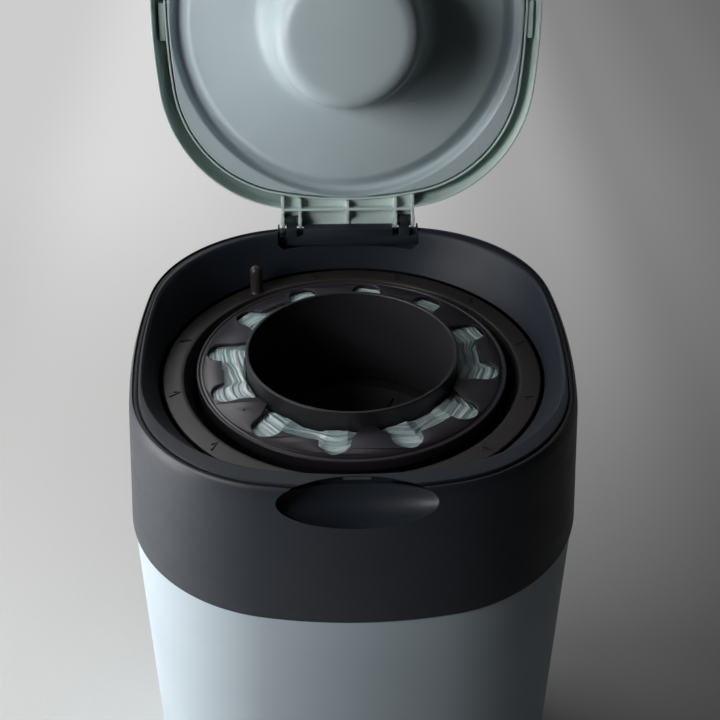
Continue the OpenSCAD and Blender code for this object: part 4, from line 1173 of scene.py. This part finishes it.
# A colour ramp over a length: its stops are (metres, colour) pairs.
def lengthRamp(tree, value, stops):
    low, high = stops[0][0], stops[-1][0]
    share = addNode(tree, "ShaderNodeMapRange", {"Value": value, "From Min": low, "From Max": high})
    ramp = addNode(tree, "ShaderNodeValToRGB", {"Fac": share.outputs["Result"]})
    ramp.color_ramp.interpolation = "EASE"
    ends = ramp.color_ramp.elements
    ends[0].color, ends[1].color = linear(stops[0][1]), linear(stops[-1][1])
    for at, colour in stops[1:-1]:
        ends.new((at - low) / (high - low)).color = linear(colour)
    return ramp.outputs["Color"]


# Studio paper: matt, with the faint cloudiness of its fibre. Its colour is a painted fall-off of light over X.
def paperWithPaintedFalloff(name):
    material, tree, shader = newMaterial(name)
    spot = addNode(tree, "ShaderNodeTexCoord").outputs["Object"]
    axes = addNode(tree, "ShaderNodeSeparateXYZ", {"Vector": spot})
    fibre = addNode(tree, "ShaderNodeTexNoise", {"Vector": spot, "Scale": 400.0, "Detail": 2.0})
    cloud = addNode(
        tree, "ShaderNodeMapRange", {"Value": fibre.outputs["Fac"], "To Min": 0.97, "To Max": 1.03}
    )
    # The painted fall-off over X, clouded by the fibre.
    tone = addNode(
        tree, "ShaderNodeVectorMath",
        {0: lengthRamp(tree, axes.outputs["X"], stage["paintedFalloff"]), 1: cloud.outputs["Result"]},
        operation="MULTIPLY",
    )
    feed(tree, shader, {"Base Color": tone.outputs["Vector"], "Roughness": 0.9, "Specular IOR Level": 0.2})
    # Far off, a glow for the eye alone that carries its own painted fall-off of light over X.
    glow = addNode(tree, "ShaderNodeEmission", {"Color": lengthRamp(tree, axes.outputs["X"], stage["far"])})
    ray = addNode(tree, "ShaderNodeLightPath").outputs
    seen = addNode(
        tree, "ShaderNodeMath", {0: ray["Is Camera Ray"], 1: ray["Is Glossy Ray"]}, operation="ADD"
    )
    seen = addNode(
        tree, "ShaderNodeMath", {0: seen.outputs["Value"], 1: ray["Is Transmission Ray"]},
        operation="ADD", use_clamp=True,
    )
    far = addNode(
        tree, "ShaderNodeMapRange",
        {"Value": axes.outputs["Y"], "From Min": stage["farFrom"], "From Max": stage["farTo"]},
        interpolation_type="SMOOTHSTEP",
    )
    share = addNode(
        tree, "ShaderNodeMath", {0: far.outputs["Result"], 1: seen.outputs["Value"]}, operation="MULTIPLY"
    )
    blend = addNode(
        tree, "ShaderNodeMixShader",
        {0: share.outputs["Value"], 1: shader.outputs["BSDF"], 2: glow.outputs["Emission"]},
    )
    feed(tree, tree.nodes["Material Output"], {"Surface": blend.outputs["Shader"]})
    return material


floor.data.materials.append(paperWithPaintedFalloff("paperWithPaintedFalloff"))

# Soft boxes: a low broad one at the left, two behind it and above, and a small gridded one for the lid's
# inside. Sizes and places are in metres.
middle = (0.0, 0.05, 0.35)
lamps = {
    "sideBox": {"at": (-0.9, -0.1, 0.35), "aim": middle, "size": 0.6, "watts": 6.9, "spreadDeg": 180},
    "rimBox": {"at": (-0.6, 0.5, 0.9), "aim": middle, "size": 0.6, "watts": 3.0, "spreadDeg": 180},
    "topBox": {"at": (-0.4, 1.3, 1.7), "aim": middle, "size": 1.0, "watts": 3.2, "spreadDeg": 180},
    "gridBox": {
        "at": (-0.7, -0.5, 0.85), "aim": (0.0, 0.17, 0.52), "size": 0.4, "watts": 0.75, "spreadDeg": 60,
    },
}
for name, box in lamps.items():
    lamp = bpy.data.lights.new(name, "AREA")
    lamp.shape, lamp.size = "SQUARE", box["size"]
    lamp.energy, lamp.spread = box["watts"], radians(box["spreadDeg"])
    holder = bpy.data.objects.new(name, lamp)
    holder.location = box["at"]
    towards = Vector(box["aim"]) - Vector(box["at"])
    holder.rotation_euler = towards.to_track_quat("-Z", "Y").to_euler()
    bpy.context.scene.collection.objects.link(holder)
world = bpy.data.worlds.new("studioAir")
world.use_nodes = True
feed(world.node_tree, world.node_tree.nodes["Background"], {"Color": linear("#ffffff"), "Strength": 0.01})
bpy.context.scene.world = world

view = {"at": (-0.0128, -0.6213, 0.796), "turnDeg": (54.71, 0.0, -1.18), "lens": 68.05, "shiftX": 0.0111}
camera = bpy.data.objects.new("viewCamera", bpy.data.cameras.new("viewCamera"))
bpy.context.scene.collection.objects.link(camera)
camera.location = view["at"]
camera.rotation_euler = [radians(a) for a in view["turnDeg"]]
camera.data.lens, camera.data.sensor_width, camera.data.shift_x = view["lens"], 36.0, view["shiftX"]
camera.data.clip_start = 0.01
bpy.context.scene.camera = camera
bpy.context.scene.view_settings.view_transform = "Standard"
print("stage, lamps and camera")
